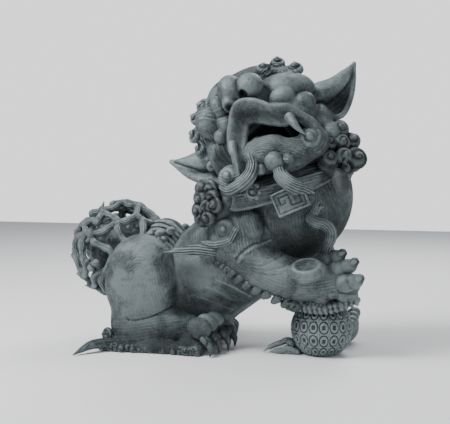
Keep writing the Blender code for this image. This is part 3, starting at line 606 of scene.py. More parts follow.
def make_hind_legs():
    y = -SPAN_Y
    b = Block((-0.48, -0.32, -0.02), (0.12, 0.03, 0.5), 0.0032)
    b.add(rod([(-0.285, y - 0.02, 0.2), (-0.29, y - 0.025, 0.08)], (0.122, 0.108)), 0.03)
    b.add(rod([(-0.29, y - 0.03, 0.1), (-0.136, y - 0.035, 0.103), (-0.05, y - 0.02, 0.08)],
              (0.108, 0.088, 0.068)), 0.03)
    b.add(egg((-0.025, y - 0.01, 0.055), (0.08, 0.118, 0.055)), 0.02)
    b.add(rod([(-0.37, y - 0.125, 0.022), (-0.2, y - 0.135, 0.022), (0.0, y - 0.125, 0.022)], 0.026), 0.035)
    b.add(egg((-0.271, y - 0.035, 0.275), (0.159, 0.118, 0.198)), 0.012)
    b.add(egg((-0.215, y - 0.04, 0.24), (0.108, 0.108, 0.12)), 0.03)
    for i, r in enumerate((0.042, 0.038, 0.035, 0.032)):
        toe = np.array([0.004 + 0.014 * i, y - 0.124 + 0.058 * i, 0.108 + 0.012 * i])
        b.add(egg(toe, (r * 1.2, r, r), turned(0, 25, 0)), 0.002)
    b.crease([(-0.125, y - 0.11, 0.185), (-0.19, y - 0.12, 0.15), (-0.25, y - 0.12, 0.132),
              (-0.292, y - 0.12, 0.13)], 0.006, -0.0042, 0.08)
    b.crease([(-0.292, y - 0.12, 0.13), (-0.3, y - 0.12, 0.142)], 0.006, -0.0035, 0.08)
    for i in range(11):
        x, z = -0.355 + 0.024 * i, 0.405 + 0.022 * math.sin(1.7 * i)
        stroke = [(x, y - 0.1, z), (x - 0.018, y - 0.1, z - 0.02),
                  (x - 0.028 - 0.004 * (i % 3), y - 0.1, z - 0.045)]
        b.press(path(stroke, 4), 0.0042, -0.0016, 0.08, (0, 1, 0))
    b.hair(path([(-0.375, y - 0.13, 0.06), (-0.25, y - 0.14, 0.075), (-0.1, y - 0.12, 0.1),
                 (0.0, y - 0.1, 0.1)]), 0.0125, 0.085, weight=0.32)
    b.hair(path([(-0.37, y - 0.12, 0.22), (-0.33, y - 0.12, 0.34), (-0.25, y - 0.13, 0.4),
                 (-0.17, y - 0.12, 0.35), (-0.14, y - 0.12, 0.25)]), 0.0115, 0.16, weight=0.2)
    # Painted shade along the ground under the foot and in the fold above the foot.
    b.painted_shade(rod([(-0.4, y - 0.16, 0.02), (0.0, y - 0.16, 0.02)], 0.03), 0.5, 0.13)
    b.painted_shade(rod([(-0.1, y - 0.08, 0.24), (-0.1, y - 0.08, 0.18)], 0.02), 0.6, 0.04)
    cast("near_hind_leg", b, BODY, ["near_thigh", "near_hind_foot", "near_hind_toes"],
         both=True, nudge=-0.02)
    c = Block((0.0, y - 0.19, -0.01), (0.13, y + 0.15, 0.11), 0.0019)
    spots = [((0.034, -0.27, 0.062), (0.062, -0.297, 0.002)),
             ((0.052, -0.202, 0.064), (0.078, -0.222, 0.002)),
             ((0.066, -0.122, 0.064), (0.092, -0.138, 0.002)),
             ((0.07, -0.04, 0.064), (0.096, -0.05, 0.002))]
    for i, (root, tip) in enumerate(spots):
        root, tip = np.array(root), np.array(tip)
        c.add(lock([root, 0.5 * (root + tip) + (0.012, -0.004, 0.006), tip], (0.016, 0.0125, 0.002)), 0.002)
        # Painted shade on the claw tips.
        c.painted_shade(rod([0.4 * root + 0.6 * tip, tip], (0.006, 0.003)), 0.4, 0.012)
        for k in range(4):
            tuft = root + (-0.004 + 0.004 * math.sin(2.1 * k + i), 0.018 * (k - 1.2),
                           0.01 + 0.005 * math.sin(1.3 * k))
            c.add(lock([tuft, tuft + (0.01, -0.004, -0.008), tuft + (0.011, -0.005, -0.018)],
                       (0.012, 0.01, 0.003)), 0.003)
    cast("near_hind_claws", c, DARK_PATINA_AND_SHADE, both=True, nudge=-0.05, wear=0.007)
    d = Block((-0.44, y - 0.185, -0.01), (0.05, y - 0.1, 0.05), 0.002)
    for i in range(17):
        x = -0.388 + 0.0245 * i
        size = 0.0185 + 0.0035 * math.sin(2.7 * i)
        d.curl((x, y - 0.15 - 0.006 * math.sin(i * 0.5), 0.016 + 0.004 * math.sin(1.9 * i)),
               (0.2, -1, 0.25), size, turns=1.1, depth=0.004, dome=0.55, hand=1.0 if i % 2 else -1.0,
               start=0.8 * i, nub=0.25)
    d.add(rod([(-0.405, y - 0.142, 0.03), (0.0, y - 0.144, 0.03)], 0.009), 0.004)
    cast("near_ground_fringe", d, DARK_PATINA_AND_SHADE, both=True, wear=0.007)
    e = Block((-0.56, y - 0.33, -0.01), (-0.34, y - 0.04, 0.12), 0.0022)
    spike = [(-0.36, y - 0.125, 0.03), (-0.4, y - 0.165, 0.034), (-0.43, y - 0.205, 0.032),
             (-0.455, y - 0.245, 0.018), (-0.477, y - 0.284, 0.003)]
    e.tress(spike, (0.024, 0.022, 0.019, 0.012, 0.002), 0.006, 0.008, 0.03, 0.002, (0, 0, 1))
    e.curl((-0.396, y - 0.112, 0.062), (-0.6, -0.8, 0.2), 0.03, turns=1.4, hand=-1, dome=0.6)
    e.curl((-0.392, y - 0.13, 0.048), (-0.4, -0.9, 0.0), 0.019, turns=1.2)
    e.curl((-0.418, y - 0.14, 0.02), (-0.4, -0.9, 0.0), 0.018, turns=1.2, hand=-1)
    cast("near_heel_lock", e, DARK_PATINA_AND_SHADE, both=True, wear=0.007)


# ---------------------------------------------------------------- forelegs
def make_forelegs():
    b = Block((-0.02, -0.33, 0.15), (0.67, 0.03, 0.64), 0.003)
    b.add(egg((0.16, -0.14, 0.47), (0.16, 0.11, 0.14)), 0.03)
    b.add(rod([(0.13, -0.175, 0.42), (0.25, -0.195, 0.352), (0.36, -0.19, 0.312), (0.46, -0.15, 0.302)],
              (0.105, 0.092, 0.084, 0.088)), 0.03)
    b.add(egg((0.515, -0.115, 0.29), (0.1, 0.095, 0.07)), 0.03)
    for spot, r in (((0.523, -0.18, 0.262), 0.034), ((0.572, -0.178, 0.248), 0.03),
                    ((0.603, -0.165, 0.252), 0.026), ((0.483, -0.185, 0.24), 0.034),
                    ((0.6, -0.15, 0.285), 0.034)):
        b.add(egg(spot, (r, r, r * 0.8)), 0.012)
    b.add(egg((0.482, -0.105, 0.378), (0.036, 0.034, 0.034)), 0.01)
    seam = path([(0.165, -0.29, 0.395), (0.186, -0.29, 0.422), (0.225, -0.28, 0.452),
                 (0.274, -0.26, 0.476)])
    b.press(seam[:-4], 0.006, -0.004, flat=(0, 1, 0), reach=0.07)
    b.press(seam + (0.012, 0, -0.01), 0.01, 0.004, flat=(0, 1, 0), reach=0.07)
    for line in (((0.215, -0.28, 0.376), (0.257, -0.28, 0.37), (0.289, -0.28, 0.379), (0.35, -0.28, 0.418)),
                 ((0.225, -0.28, 0.362), (0.289, -0.28, 0.354), (0.341, -0.28, 0.365), (0.373, -0.28, 0.378)),
                 ((0.23, -0.28, 0.35), (0.29, -0.28, 0.338), (0.35, -0.28, 0.34))):
        b.crease(line, 0.0048, -0.0028, 0.1)
    b.hair(path([(0.16, -0.27, 0.345), (0.27, -0.28, 0.29), (0.36, -0.27, 0.262), (0.46, -0.24, 0.25),
                 (0.58, -0.22, 0.27)]), 0.0125, 0.075, depth=0.0004, weight=0.45)
    b.hair(path([(0.1, -0.25, 0.56), (0.13, -0.26, 0.5), (0.15, -0.26, 0.42)]), 0.012, 0.1, weight=0.45)
    for i in range(4):
        line = [(0.53, -0.24, 0.252 - 0.011 * i), (0.565, -0.24, 0.246 - 0.01 * i),
                (0.61, -0.22, 0.252 - 0.009 * i)]
        b.crease(line, 0.0045, -0.0028, 0.1)
    # Painted shade under the paw, behind the shoulder and along the underside of the arm.
    b.painted_shade(egg((0.43, -0.1, 0.19), (0.12, 0.12, 0.03)), 0.5, 0.05)
    b.painted_shade(rod([(0.155, -0.245, 0.48), (0.128, -0.245, 0.44), (0.078, -0.245, 0.425),
                (0.017, -0.24, 0.432)], 0.012), 0.55, 0.022)
    b.painted_shade(rod([(0.074, -0.245, 0.382), (0.146, -0.25, 0.322), (0.278, -0.238, 0.24),
                (0.392, -0.2, 0.19)], 0.012), 0.55, 0.03)
    cast("near_foreleg", b, BODY)
    d = Block((0.345, -0.34, 0.275), (0.535, -0.17, 0.45), 0.002)
    tilt = turned(12, -6, 34)
    hub = np.array([0.44, -0.24, 0.352])
    d.add(egg(hub, (0.074, 0.058, 0.046), tilt), 0.004)
    d.cut(egg(hub + tilt @ (0.0, 0.0, 0.052), (0.062, 0.048, 0.03), tilt), 0.008)
    d.add(egg(hub + tilt @ (-0.012, 0.004, 0.004), (0.03, 0.018, 0.012), tilt), 0.006)
    for k in range(5):
        arc = [hub + tilt @ (0.062 * math.sin(t), -0.058 * math.cos(t), -0.006 * k)
               for t in np.linspace(-1.1, 1.1, 5)]
        d.crease(arc, 0.0035, -0.0018, 0.02, tilt[:, 1])
    # Painted shade inside the dish.
    d.painted_shade(egg(hub + tilt @ (0.01, 0.01, 0.02), (0.04, 0.026, 0.014), tilt), 0.18, 0.015)
    cast("wrist_boss", d, WORN, wear=0.007)
    toes = (((0.468, -0.09, 0.352), (0.496, -0.138, 0.386), (0.536, -0.142, 0.398), (0.576, -0.146, 0.414)),
            ((0.515, -0.1, 0.33), (0.547, -0.156, 0.354), (0.586, -0.162, 0.366), (0.628, -0.167, 0.384)),
            ((0.545, -0.13, 0.29), (0.58, -0.188, 0.302), (0.616, -0.196, 0.312), (0.654, -0.202, 0.322)))
    for i, toe in enumerate(toes):
        root, knuckle, tip, claw = np.array(toe)
        t = Block(np.minimum(root, claw) - 0.05, np.maximum(root, claw) + 0.05, 0.0019)
        t.add(rod([root, knuckle], (0.036, 0.032)), 0.004)
        t.add(egg(knuckle, (0.042, 0.036, 0.037)), 0.004)
        t.add(egg(tip, (0.036, 0.031, 0.03)), 0.002)
        t.add(lock([0.6 * tip + 0.4 * claw, 0.3 * tip + 0.7 * claw + (0, 0, 0.006), claw],
                   (0.022, 0.016, 0.005)), 0.002)
        for k in range(3):
            out = unit(np.cross(claw - tip, (0, 0, 1)))
            spot = 0.45 * tip + 0.55 * claw + out * 0.016 * (k - 1) + (0, 0, 0.016 - 0.01 * abs(k - 1))
            t.add(lock([spot, spot + 0.3 * (claw - tip)], (0.011, 0.005)), 0.002)
        # Painted shade on the claw.
        t.painted_shade(rod([0.35 * tip + 0.65 * claw, claw], (0.01, 0.006)), 0.75, 0.014)
        cast("near_toe_%d" % (i + 1), t, WORN, wear=0.008)
    f = Block((0.36, -0.25, 0.17), (0.65, -0.04, 0.28), 0.0022)
    edge = path([(0.377, -0.19, 0.215), (0.442, -0.194, 0.202), (0.502, -0.194, 0.203),
                 (0.561, -0.184, 0.218), (0.618, -0.163, 0.238)], 3)
    for i, p in enumerate(edge):
        size = 0.017 + 0.005 * math.sin(2.3 * i)
        f.add(egg(p + (0, 0, 0.004 * math.sin(1.9 * i)), (size, 0.016, 0.8 * size)), 0.003)
        f.add(lock([p, p + (0.004, -0.005, -0.015), p + (0.01, 0.0, -0.024)], (0.014, 0.01, 0.003)), 0.003)
    for i in range(11):
        x = 0.405 + 0.0135 * i
        y = -0.168 - 0.02 * math.cos(2.0 * (x - 0.47) / 0.08)
        f.add(lock([(x, y + 0.03, 0.232), (x, y - 0.008, 0.216), (x + 0.002, y - 0.012, 0.192)],
                   (0.011, 0.01, 0.004)), 0.002)
    cast("near_paw_fur", f, WORN, wear=0.007)
    g = Block((0.03, 0.02, 0.02), (0.58, 0.3, 0.64), 0.0042)
    g.add(egg((0.16, 0.14, 0.47), (0.16, 0.11, 0.14)), 0.03)
    g.add(rod([(0.22, 0.15, 0.45), (0.385, 0.155, 0.39), (0.43, 0.165, 0.3), (0.455, 0.17, 0.2),
               (0.455, 0.17, 0.1)], (0.09, 0.088, 0.078, 0.07, 0.072)), 0.03)
    for line in (((0.215, 0.27, 0.376), (0.257, 0.27, 0.37), (0.289, 0.27, 0.379), (0.35, 0.27, 0.418)),
                 ((0.225, 0.27, 0.352), (0.289, 0.27, 0.344), (0.341, 0.27, 0.355),
                  (0.373, 0.27, 0.368))):
        g.crease(line, 0.0055, -0.0035, 0.1)
    g.hair(path([(0.24, 0.24, 0.42), (0.38, 0.24, 0.36), (0.45, 0.24, 0.25), (0.46, 0.24, 0.12)]), 0.012,
           0.1, weight=0.5, across=(0, 1, 0))
    cast("far_foreleg", g, BODY)
    h = Block((0.35, 0.06, -0.01), (0.6, 0.27, 0.16), 0.003)
    h.add(egg((0.475, 0.165, 0.062), (0.105, 0.085, 0.075)), 0.02)
    for i in range(4):
        h.add(rod([(0.52, 0.115 + 0.036 * i, 0.095), (0.553, 0.112 + 0.038 * i, 0.085 + 0.012 * i)],
                  0.026), 0.004)
        h.add(lock([(0.553, 0.112 + 0.038 * i, 0.08), (0.566, 0.112 + 0.038 * i, 0.045)], (0.02, 0.006)),
              0.004)
    cast("far_forepaw", h, BODY, ["far_forepaw", "far_fore_toes"])


# ---------------------------------------------------------------- ball and ribbons
BALL = np.array([0.47, -0.09, 0.106])
BALL_R = 0.126


def make_ball():
    b = Block(BALL - 0.14, BALL + 0.14, 0.0019)
    b.add(egg(BALL, BALL_R - 0.001), 0.004)
    x, y, z = b.axis
    x, y, z = x[:, None, None] - BALL[0], y[None, :, None] - BALL[1], z[None, None, :] - BALL[2]
    far = np.sqrt(x * x + y * y + z * z)
    u = (np.arctan2(y, x) * 9.0 / math.pi + 0.25) % 1.0 - 0.5
    v = (np.arcsin(np.clip(z / np.maximum(far, 1e-6), -1, 1)) * 7.0 / math.pi + 0.15) % 1.0 - 0.5
    ring = np.sqrt(u * u + v * v)
    square = np.maximum(np.abs(u), np.abs(v))
    rim = np.exp(-((ring - 0.43) / 0.055) ** 2)
    hole = np.clip((0.19 - square) / 0.06, 0, 1)
    gap = np.clip((ring - 0.52) / 0.05, 0, 1) * np.clip((0.46 - np.abs(v)) / 0.03, 0, 1)
    b.f += (0.006 * rim + 0.0055 * hole + 0.0015 * gap).astype(np.float32)
    cast("lattice_ball", b, WORN, wear=0.007)
    g = Block((0.21, -0.18, -0.01), (0.41, -0.07, 0.09), 0.0019)
    wave = [(0.392, -0.115, 0.012), (0.366, -0.12, 0.042), (0.338, -0.125, 0.054), (0.312, -0.125, 0.044),
            (0.286, -0.128, 0.034), (0.262, -0.13, 0.022), (0.24, -0.132, 0.005)]
    g.add(lock(wave, (0.012, 0.016, 0.016, 0.013, 0.012, 0.009, 0.003)), 0.004)
    g.add(lock([(0.38, -0.135, 0.012), (0.345, -0.14, 0.026), (0.32, -0.14, 0.014), (0.29, -0.14, 0.012),
                (0.268, -0.138, 0.006)], (0.014, 0.015, 0.013, 0.01, 0.004)), 0.004)
    g.hair(path(wave), 0.009, 0.035, depth=0.0025)
    g.curl((0.352, -0.14, 0.046), (0, -1, 0.2), 0.017, turns=1.3)
    cast("ground_ribbon", g, WORN, wear=0.007)
    r = Block((0.41, -0.23, 0.36), (0.56, -0.09, 0.65), 0.0019)
    wave = [(0.462, -0.165, 0.632), (0.458, -0.175, 0.598), (0.45, -0.182, 0.574), (0.446, -0.188, 0.552),
            (0.468, -0.19, 0.538), (0.498, -0.185, 0.53), (0.519, -0.176, 0.506), (0.518, -0.165, 0.474),
            (0.5, -0.148, 0.44), (0.488, -0.128, 0.405), (0.486, -0.118, 0.385)]
    r.add(lock(wave, (0.01, 0.018, 0.022, 0.025, 0.024, 0.024, 0.025, 0.025, 0.025, 0.025, 0.026)), 0.004)
    r.add(lock([(0.452, -0.178, 0.58), (0.474, -0.172, 0.596), (0.492, -0.165, 0.6)],
               (0.014, 0.01, 0.003)), 0.003)
    r.hair(path(wave), 0.0095, 0.04, depth=0.003)
    cast("chest_ribbon", r, WORN, wear=0.007)


# ---------------------------------------------------------------- flank locks and collar
def make_flank_hair():
    edge = path([(0.074, -0.238, 0.401), (0.111, -0.248, 0.366), (0.146, -0.252, 0.34),
                 (0.204, -0.248, 0.294), (0.278, -0.238, 0.256), (0.355, -0.222, 0.222),
                 (0.392, -0.205, 0.206)], 2)
    b = Block((0.03, -0.31, 0.17), (0.43, -0.16, 0.44), 0.0022)
    for i, p in enumerate(edge):
        big = 0.0195 + 0.005 * math.sin(1.9 * i)
        b.curl(p, (-0.3, -1, -0.25), big, turns=1.1, depth=0.005, dome=0.45, hand=1.0 if i % 2 else -1.0,
               start=0.7 * i, nub=0.26)
        b.add(lock([p, p + (-0.012, 0, -0.01), p + (-0.017 - 0.006 * (i % 2), 0.006, -0.017)],
                   (0.018, 0.014, 0.006)), 0.008)
    b.add(rod(edge + (0.012, 0.006, 0.02), 0.007), 0.003)
    cast("arm_fringe", b, DARK_PATINA_AND_SHADE, wear=0.007)
    flame = [(0.098, -0.238, 0.412), (0.055, -0.258, 0.418), (0.002, -0.266, 0.424),
             (-0.05, -0.262, 0.42), (-0.098, -0.248, 0.415), (-0.15, -0.236, 0.408)]
    c = Block((-0.18, -0.3, 0.37), (0.13, -0.2, 0.47), 0.002)
    c.tress(flame, (0.014, 0.022, 0.023, 0.019, 0.012, 0.003), 0.004, 0.01, 0.04, 0.0042)
    cast("shoulder_flame_lock", c, WORN, both=True, wear=0.007)
    d = Block((-0.02, -0.3, 0.42), (0.18, -0.19, 0.58), 0.002)
    d.curl((0.11, -0.246, 0.508), (-0.1, -1, 0.1), 0.042, turns=0.9, depth=0.0032, dome=0.5, nub=0.24,
           blend=0.006)
    comma = [(0.15, -0.24, 0.498), (0.131, -0.252, 0.464), (0.08, -0.256, 0.448), (0.044, -0.252, 0.448),
             (0.01, -0.24, 0.456)]
    d.tress(comma, (0.024, 0.026, 0.022, 0.015, 0.003), 0.012, 0.01, 0.035, 0.0012)
    cast("shoulder_comma_lock", d, WORN, both=True, wear=0.007)


def make_collar():
    b = Block((-0.02, -0.32, 0.53), (0.6, 0.32, 0.82), 0.0029)
    for s in (-1, 1):
        upper = [(0.052, 0, 0.68), (0.076, s * 0.108, 0.662), (0.118, s * 0.195, 0.642),
                 (0.195, s * 0.268, 0.649), (0.306, s * 0.278, 0.682), (0.417, s * 0.222, 0.713),
                 (0.5, s * 0.12, 0.75), (0.53, 0.0, 0.765)]
        lower = [(0.012, 0, 0.638), (0.038, s * 0.112, 0.616), (0.1, s * 0.205, 0.59),
                 (0.185, s * 0.262, 0.592), (0.306, s * 0.272, 0.624), (0.418, s * 0.216, 0.658),
                 (0.505, s * 0.12, 0.705), (0.54, 0.0, 0.722)]
        b.add(rod([(0.12, s * 0.15, 0.6), (0.2, s * 0.2, 0.65), (0.31, s * 0.205, 0.685),
                   (0.42, s * 0.15, 0.72), (0.48, s * 0.06, 0.75), (0.49, 0, 0.755)], 0.052), 0.01)
        b.sheet(upper, lower, 0.0085, 0.006, 6)
        b.add(rod(path(upper), 0.0095), 0.002)
        b.add(rod(path(lower), 0.0095), 0.002)
        for i in range(26):
            t = i / 25.0
            a, c = path(upper, 5), path(lower, 5)
            k = int(t * (len(a) - 1))
            b.press([a[k], c[k]], 0.0035, -0.0025)
        b.hair(path([(0.16, s * 0.25, 0.7), (0.31, s * 0.26, 0.735), (0.42, s * 0.2, 0.765)]), 0.012,
               0.09, depth=0.0022, across=(0, s, 0))
        # Painted shade along the top of the collar, under the mane.
        b.painted_shade(rod([(0.12, s * 0.18, 0.65), (0.31, s * 0.22, 0.735), (0.48, s * 0.1, 0.8)], 0.03), 0.7,
               0.03)
    cast("collar", b, BODY, wear=0.007)
    r = Block((0.19, -0.35, 0.615), (0.275, -0.25, 0.705), 0.0018)
    r.curl((0.232, -0.288, 0.66), (0.1, -1, 0.1), 0.03, turns=1.5, dome=0.5)
    for i in range(7):
        t = 2.0 * math.pi * i / 7.0
        r.add(egg((0.232 + 0.026 * math.cos(t), -0.284, 0.66 + 0.026 * math.sin(t)), 0.0115), 0.002)
    cast("collar_rosette", r, WORN, wear=0.006)
    p = Block((0.28, -0.33, 0.54), (0.49, -0.24, 0.71), 0.0019)
    tilt = turned(6, -24, -6)
    hub = np.array([0.383, -0.288, 0.63])
    p.add(slab(hub, (0.066, 0.014, 0.048), tilt, 0.004), 0.003)
    frame_line = [(-0.056, 0.038), (0.056, 0.038), (0.056, -0.038), (-0.056, -0.038), (-0.056, 0.038)]
    fret = [(-0.04, 0.022), (0.0, 0.022), (0.0, -0.022), (0.04, -0.022), (0.04, 0.006), (0.02, 0.006),
            (0.02, -0.006)]
    for line, width in ((frame_line, 0.004), (fret, 0.0042), ([(-u, -v) for u, v in fret], 0.0042)):
        p.press([hub + tilt @ (u, -0.014, v) for u, v in line], width, -0.004)
    cast("collar_plaque", p, WORN, wear=0.006)


# ---------------------------------------------------------------- head
def head_block(low, high, step):
    """A block that holds a box given in head coordinates."""
    corners = np.array([at(*[(low, high)[(k >> i) & 1][i] for i in range(3)]) for k in range(8)])
    return Block(corners.min(axis=0) - 0.006, corners.max(axis=0) + 0.006, step)


FRONT = HEAD_AXES @ (0.0, -1.0, 0.0)


def heads(points):
    return [at(*p) for p in points]


def head_eggs(block, *eggs):
    """Melts in eggs, each given by its place on the head, its radii and its blend."""
    for place, radii, blend in eggs:
        block.add(egg(at(*place), radii, HEAD_AXES), blend)


def make_skull():
    a = HEAD_AXES
    b = head_block((-0.25, -0.27, -0.31), (0.27, 0.22, 0.28), 0.0034)
    head_eggs(b, ((0.01, 0.02, 0.06), (0.2, 0.175, 0.205), 0.04),
              ((-0.075, 0.0, 0.1), (0.13, 0.14, 0.165), 0.03),
              ((0.01, -0.12, 0.03), (0.115, 0.11, 0.08), 0.04),
              ((0.02, -0.02, -0.14), (0.215, 0.165, 0.15), 0.04),
              ((0.145, -0.11, -0.09), (0.08, 0.09, 0.095), 0.04),
              ((-0.11, -0.095, -0.06), (0.07, 0.08, 0.095), 0.04),
              ((0.222, -0.095, -0.131), (0.04, 0.045, 0.052), 0.01),
              ((0.228, -0.075, -0.2), (0.036, 0.045, 0.045), 0.01),
              ((-0.195, -0.045, -0.06), (0.07, 0.095, 0.135), 0.03))
    b.cut(egg(at(0.02, -0.17, -0.13), (0.135, 0.155, 0.058), a), 0.01)
    b.add(egg(at(0.105, -0.135, -0.04), (0.085, 0.085, 0.045), a), 0.02)
    # Near-black painted shade inside the open mouth.
    b.painted_shade(egg(at(0.03, -0.13, -0.13), (0.125, 0.15, 0.055), a), 3.0, 0.02)
    for k in range(4):
        strand = [(-0.205 + 0.018 * k, -0.145, -0.035), (-0.215 + 0.02 * k, -0.16, -0.09),
                  (-0.195 + 0.016 * k, -0.165, -0.15)]
        b.tress(heads(strand), (0.014, 0.017, 0.01), 0.004, 0.009, 0.03, 0.002, FRONT)
    # Painted shade among the cheek strands on the lion's right.
    b.painted_shade(egg(at(-0.19, -0.14, -0.12), (0.05, 0.05, 0.05), a), 0.6, 0.03)
    for k in range(5):
        z = 0.235 - 0.035 * k
        b.hair(path(heads([(-0.05 - 0.02 * k, -0.09, z), (0.02 - 0.02 * k, -0.1, z + 0.02),
                           (0.09 - 0.02 * k, -0.05, z + 0.02)])), 0.012, 0.05, weight=0.7, across=FRONT)
    b.hair(path(heads([(-0.21, -0.1, 0.13), (-0.235, -0.08, 0.04), (-0.22, -0.08, -0.05)])), 0.011, 0.07,
           depth=0.002, across=FRONT)
    # Painted shade over the face, between its features.
    b.painted_shade(egg(at(0.0, -0.15, 0.05), (0.2, 0.07, 0.13), a), 0.45, 0.03)
    cast("skull", b, BODY)


def make_muzzle():
    a = HEAD_AXES
    j = head_block((-0.17, -0.28, -0.32), (0.23, -0.05, -0.08), 0.0024)
    head_eggs(j, ((-0.08, -0.15, -0.17), (0.062, 0.062, 0.07), 0.02),
              ((-0.015, -0.165, -0.185), (0.08, 0.078, 0.066), 0.02),
              ((0.06, -0.15, -0.235), (0.1, 0.075, 0.06), 0.02))
    j.add(rod(heads([(-0.085, -0.165, -0.13), (-0.038, -0.185, -0.13), (0.005, -0.19, -0.158),
                     (0.06, -0.18, -0.2), (0.11, -0.165, -0.235)]), 0.026), 0.014)
    j.add(egg(at(0.15, -0.15, -0.232), (0.062, 0.052, 0.062), a), 0.02)
    sweep = path(heads([(-0.11, -0.18, -0.15), (-0.05, -0.22, -0.142), (0.0, -0.235, -0.173),
                        (0.055, -0.225, -0.225), (0.108, -0.21, -0.268), (0.16, -0.185, -0.285),
                        (0.2, -0.16, -0.255), (0.2, -0.16, -0.215)]), 5)
    j.hair(sweep, 0.0105, 0.062, depth=0.0014, across=FRONT)
    # Near-black painted shade inside the mouth.
    j.painted_shade(egg(at(0.02, -0.07, -0.105), (0.15, 0.13, 0.062), a), 3.0, 0.02)
    j.add(egg(at(0.038, -0.212, -0.262), 0.023), 0.003)
    j.add(egg(at(-0.076, -0.2, -0.238), 0.022), 0.003)
    j.add(egg(at(-0.014, -0.22, -0.195), (0.03, 0.022, 0.026)), 0.006)
    cast("lower_jaw", j, BODY)

    u = head_block((-0.2, -0.3, -0.27), (0.23, -0.1, 0.07), 0.0024)
    outer = [(-0.165, -0.175, -0.19), (-0.148, -0.19, -0.135), (-0.134, -0.202, -0.072),
             (-0.098, -0.22, -0.02), (-0.055, -0.238, 0.026), (-0.015, -0.255, 0.028),
             (0.033, -0.26, -0.002), (0.081, -0.255, -0.058), (0.13, -0.25, -0.082),
             (0.152, -0.235, -0.12), (0.185, -0.21, -0.17), (0.196, -0.18, -0.215)]
    inner = [(-0.146, -0.17, -0.195), (-0.114, -0.18, -0.148), (-0.088, -0.185, -0.108),
             (-0.064, -0.188, -0.07), (-0.04, -0.19, -0.042), (-0.008, -0.195, -0.048),
             (0.028, -0.2, -0.08), (0.058, -0.205, -0.106), (0.096, -0.208, -0.132),
             (0.136, -0.205, -0.128), (0.168, -0.19, -0.176), (0.184, -0.168, -0.22)]
    u.sheet(heads(outer), heads(inner), 0.0105, 0.012, 9)
    u.add(rod(path(heads(outer)), 0.0055), 0.002)
    u.add(rod(path(heads([(x, y - 0.008, z) for x, y, z in inner])), 0.0075), 0.006)
    # Painted shade along the middle of the upper lip, whose face turns down.
    u.painted_shade(rod(heads([(-0.125, -0.195, -0.11), (-0.085, -0.205, -0.055), (-0.04, -0.22, -0.005),
                      (0.01, -0.23, -0.03), (0.065, -0.23, -0.08), (0.11, -0.23, -0.105)]), 0.012), 0.4,
           0.022)
    cast("upper_lip", u, BODY, wear=0.007)

    n = head_block((-0.11, -0.31, -0.01), (0.11, -0.15, 0.18), 0.0022)
    n.add(egg(at(-0.036, -0.212, 0.108), (0.054, 0.056, 0.066), turned(0, 12, 0) @ a), 0.003)
    head_eggs(n, ((-0.06, -0.215, 0.058), (0.034, 0.045, 0.036), 0.006),
              ((0.038, -0.222, 0.079), (0.056, 0.054, 0.054), 0.003),
              ((0.0, -0.2, 0.065), (0.05, 0.05, 0.045), 0.006))
    n.cut(egg(at(0.002, -0.27, 0.052), (0.012, 0.03, 0.015), a), 0.004)
    n.cut(egg(at(-0.073, -0.255, 0.028), (0.013, 0.03, 0.012), a), 0.004)
    # Painted shade in the nostrils.
    n.painted_shade(egg(at(0.002, -0.255, 0.05), 0.013), 1.5, 0.012)
    n.painted_shade(egg(at(-0.073, -0.25, 0.026), 0.014), 1.0, 0.02)
    cast("nose", n, BODY)

    fangs = {"left": ([(0.12, -0.232, -0.126), (0.123, -0.243, -0.158), (0.129, -0.241, -0.19),
                       (0.141, -0.235, -0.222)], (0.022, 0.016, 0.01, 0.002)),
             "right": ([(-0.128, -0.215, -0.095), (-0.136, -0.228, -0.125), (-0.139, -0.232, -0.16),
                        (-0.15, -0.228, -0.203)], (0.018, 0.017, 0.012, 0.003))}
    for side, (spots, radii) in fangs.items():
        spots = np.array(spots)
        k = head_block(spots.min(axis=0) - 0.025, spots.max(axis=0) + 0.025, 0.0016)
        k.add(lock(heads(spots), radii), 0.002)
        cast(side + "_fang", k, WORN)


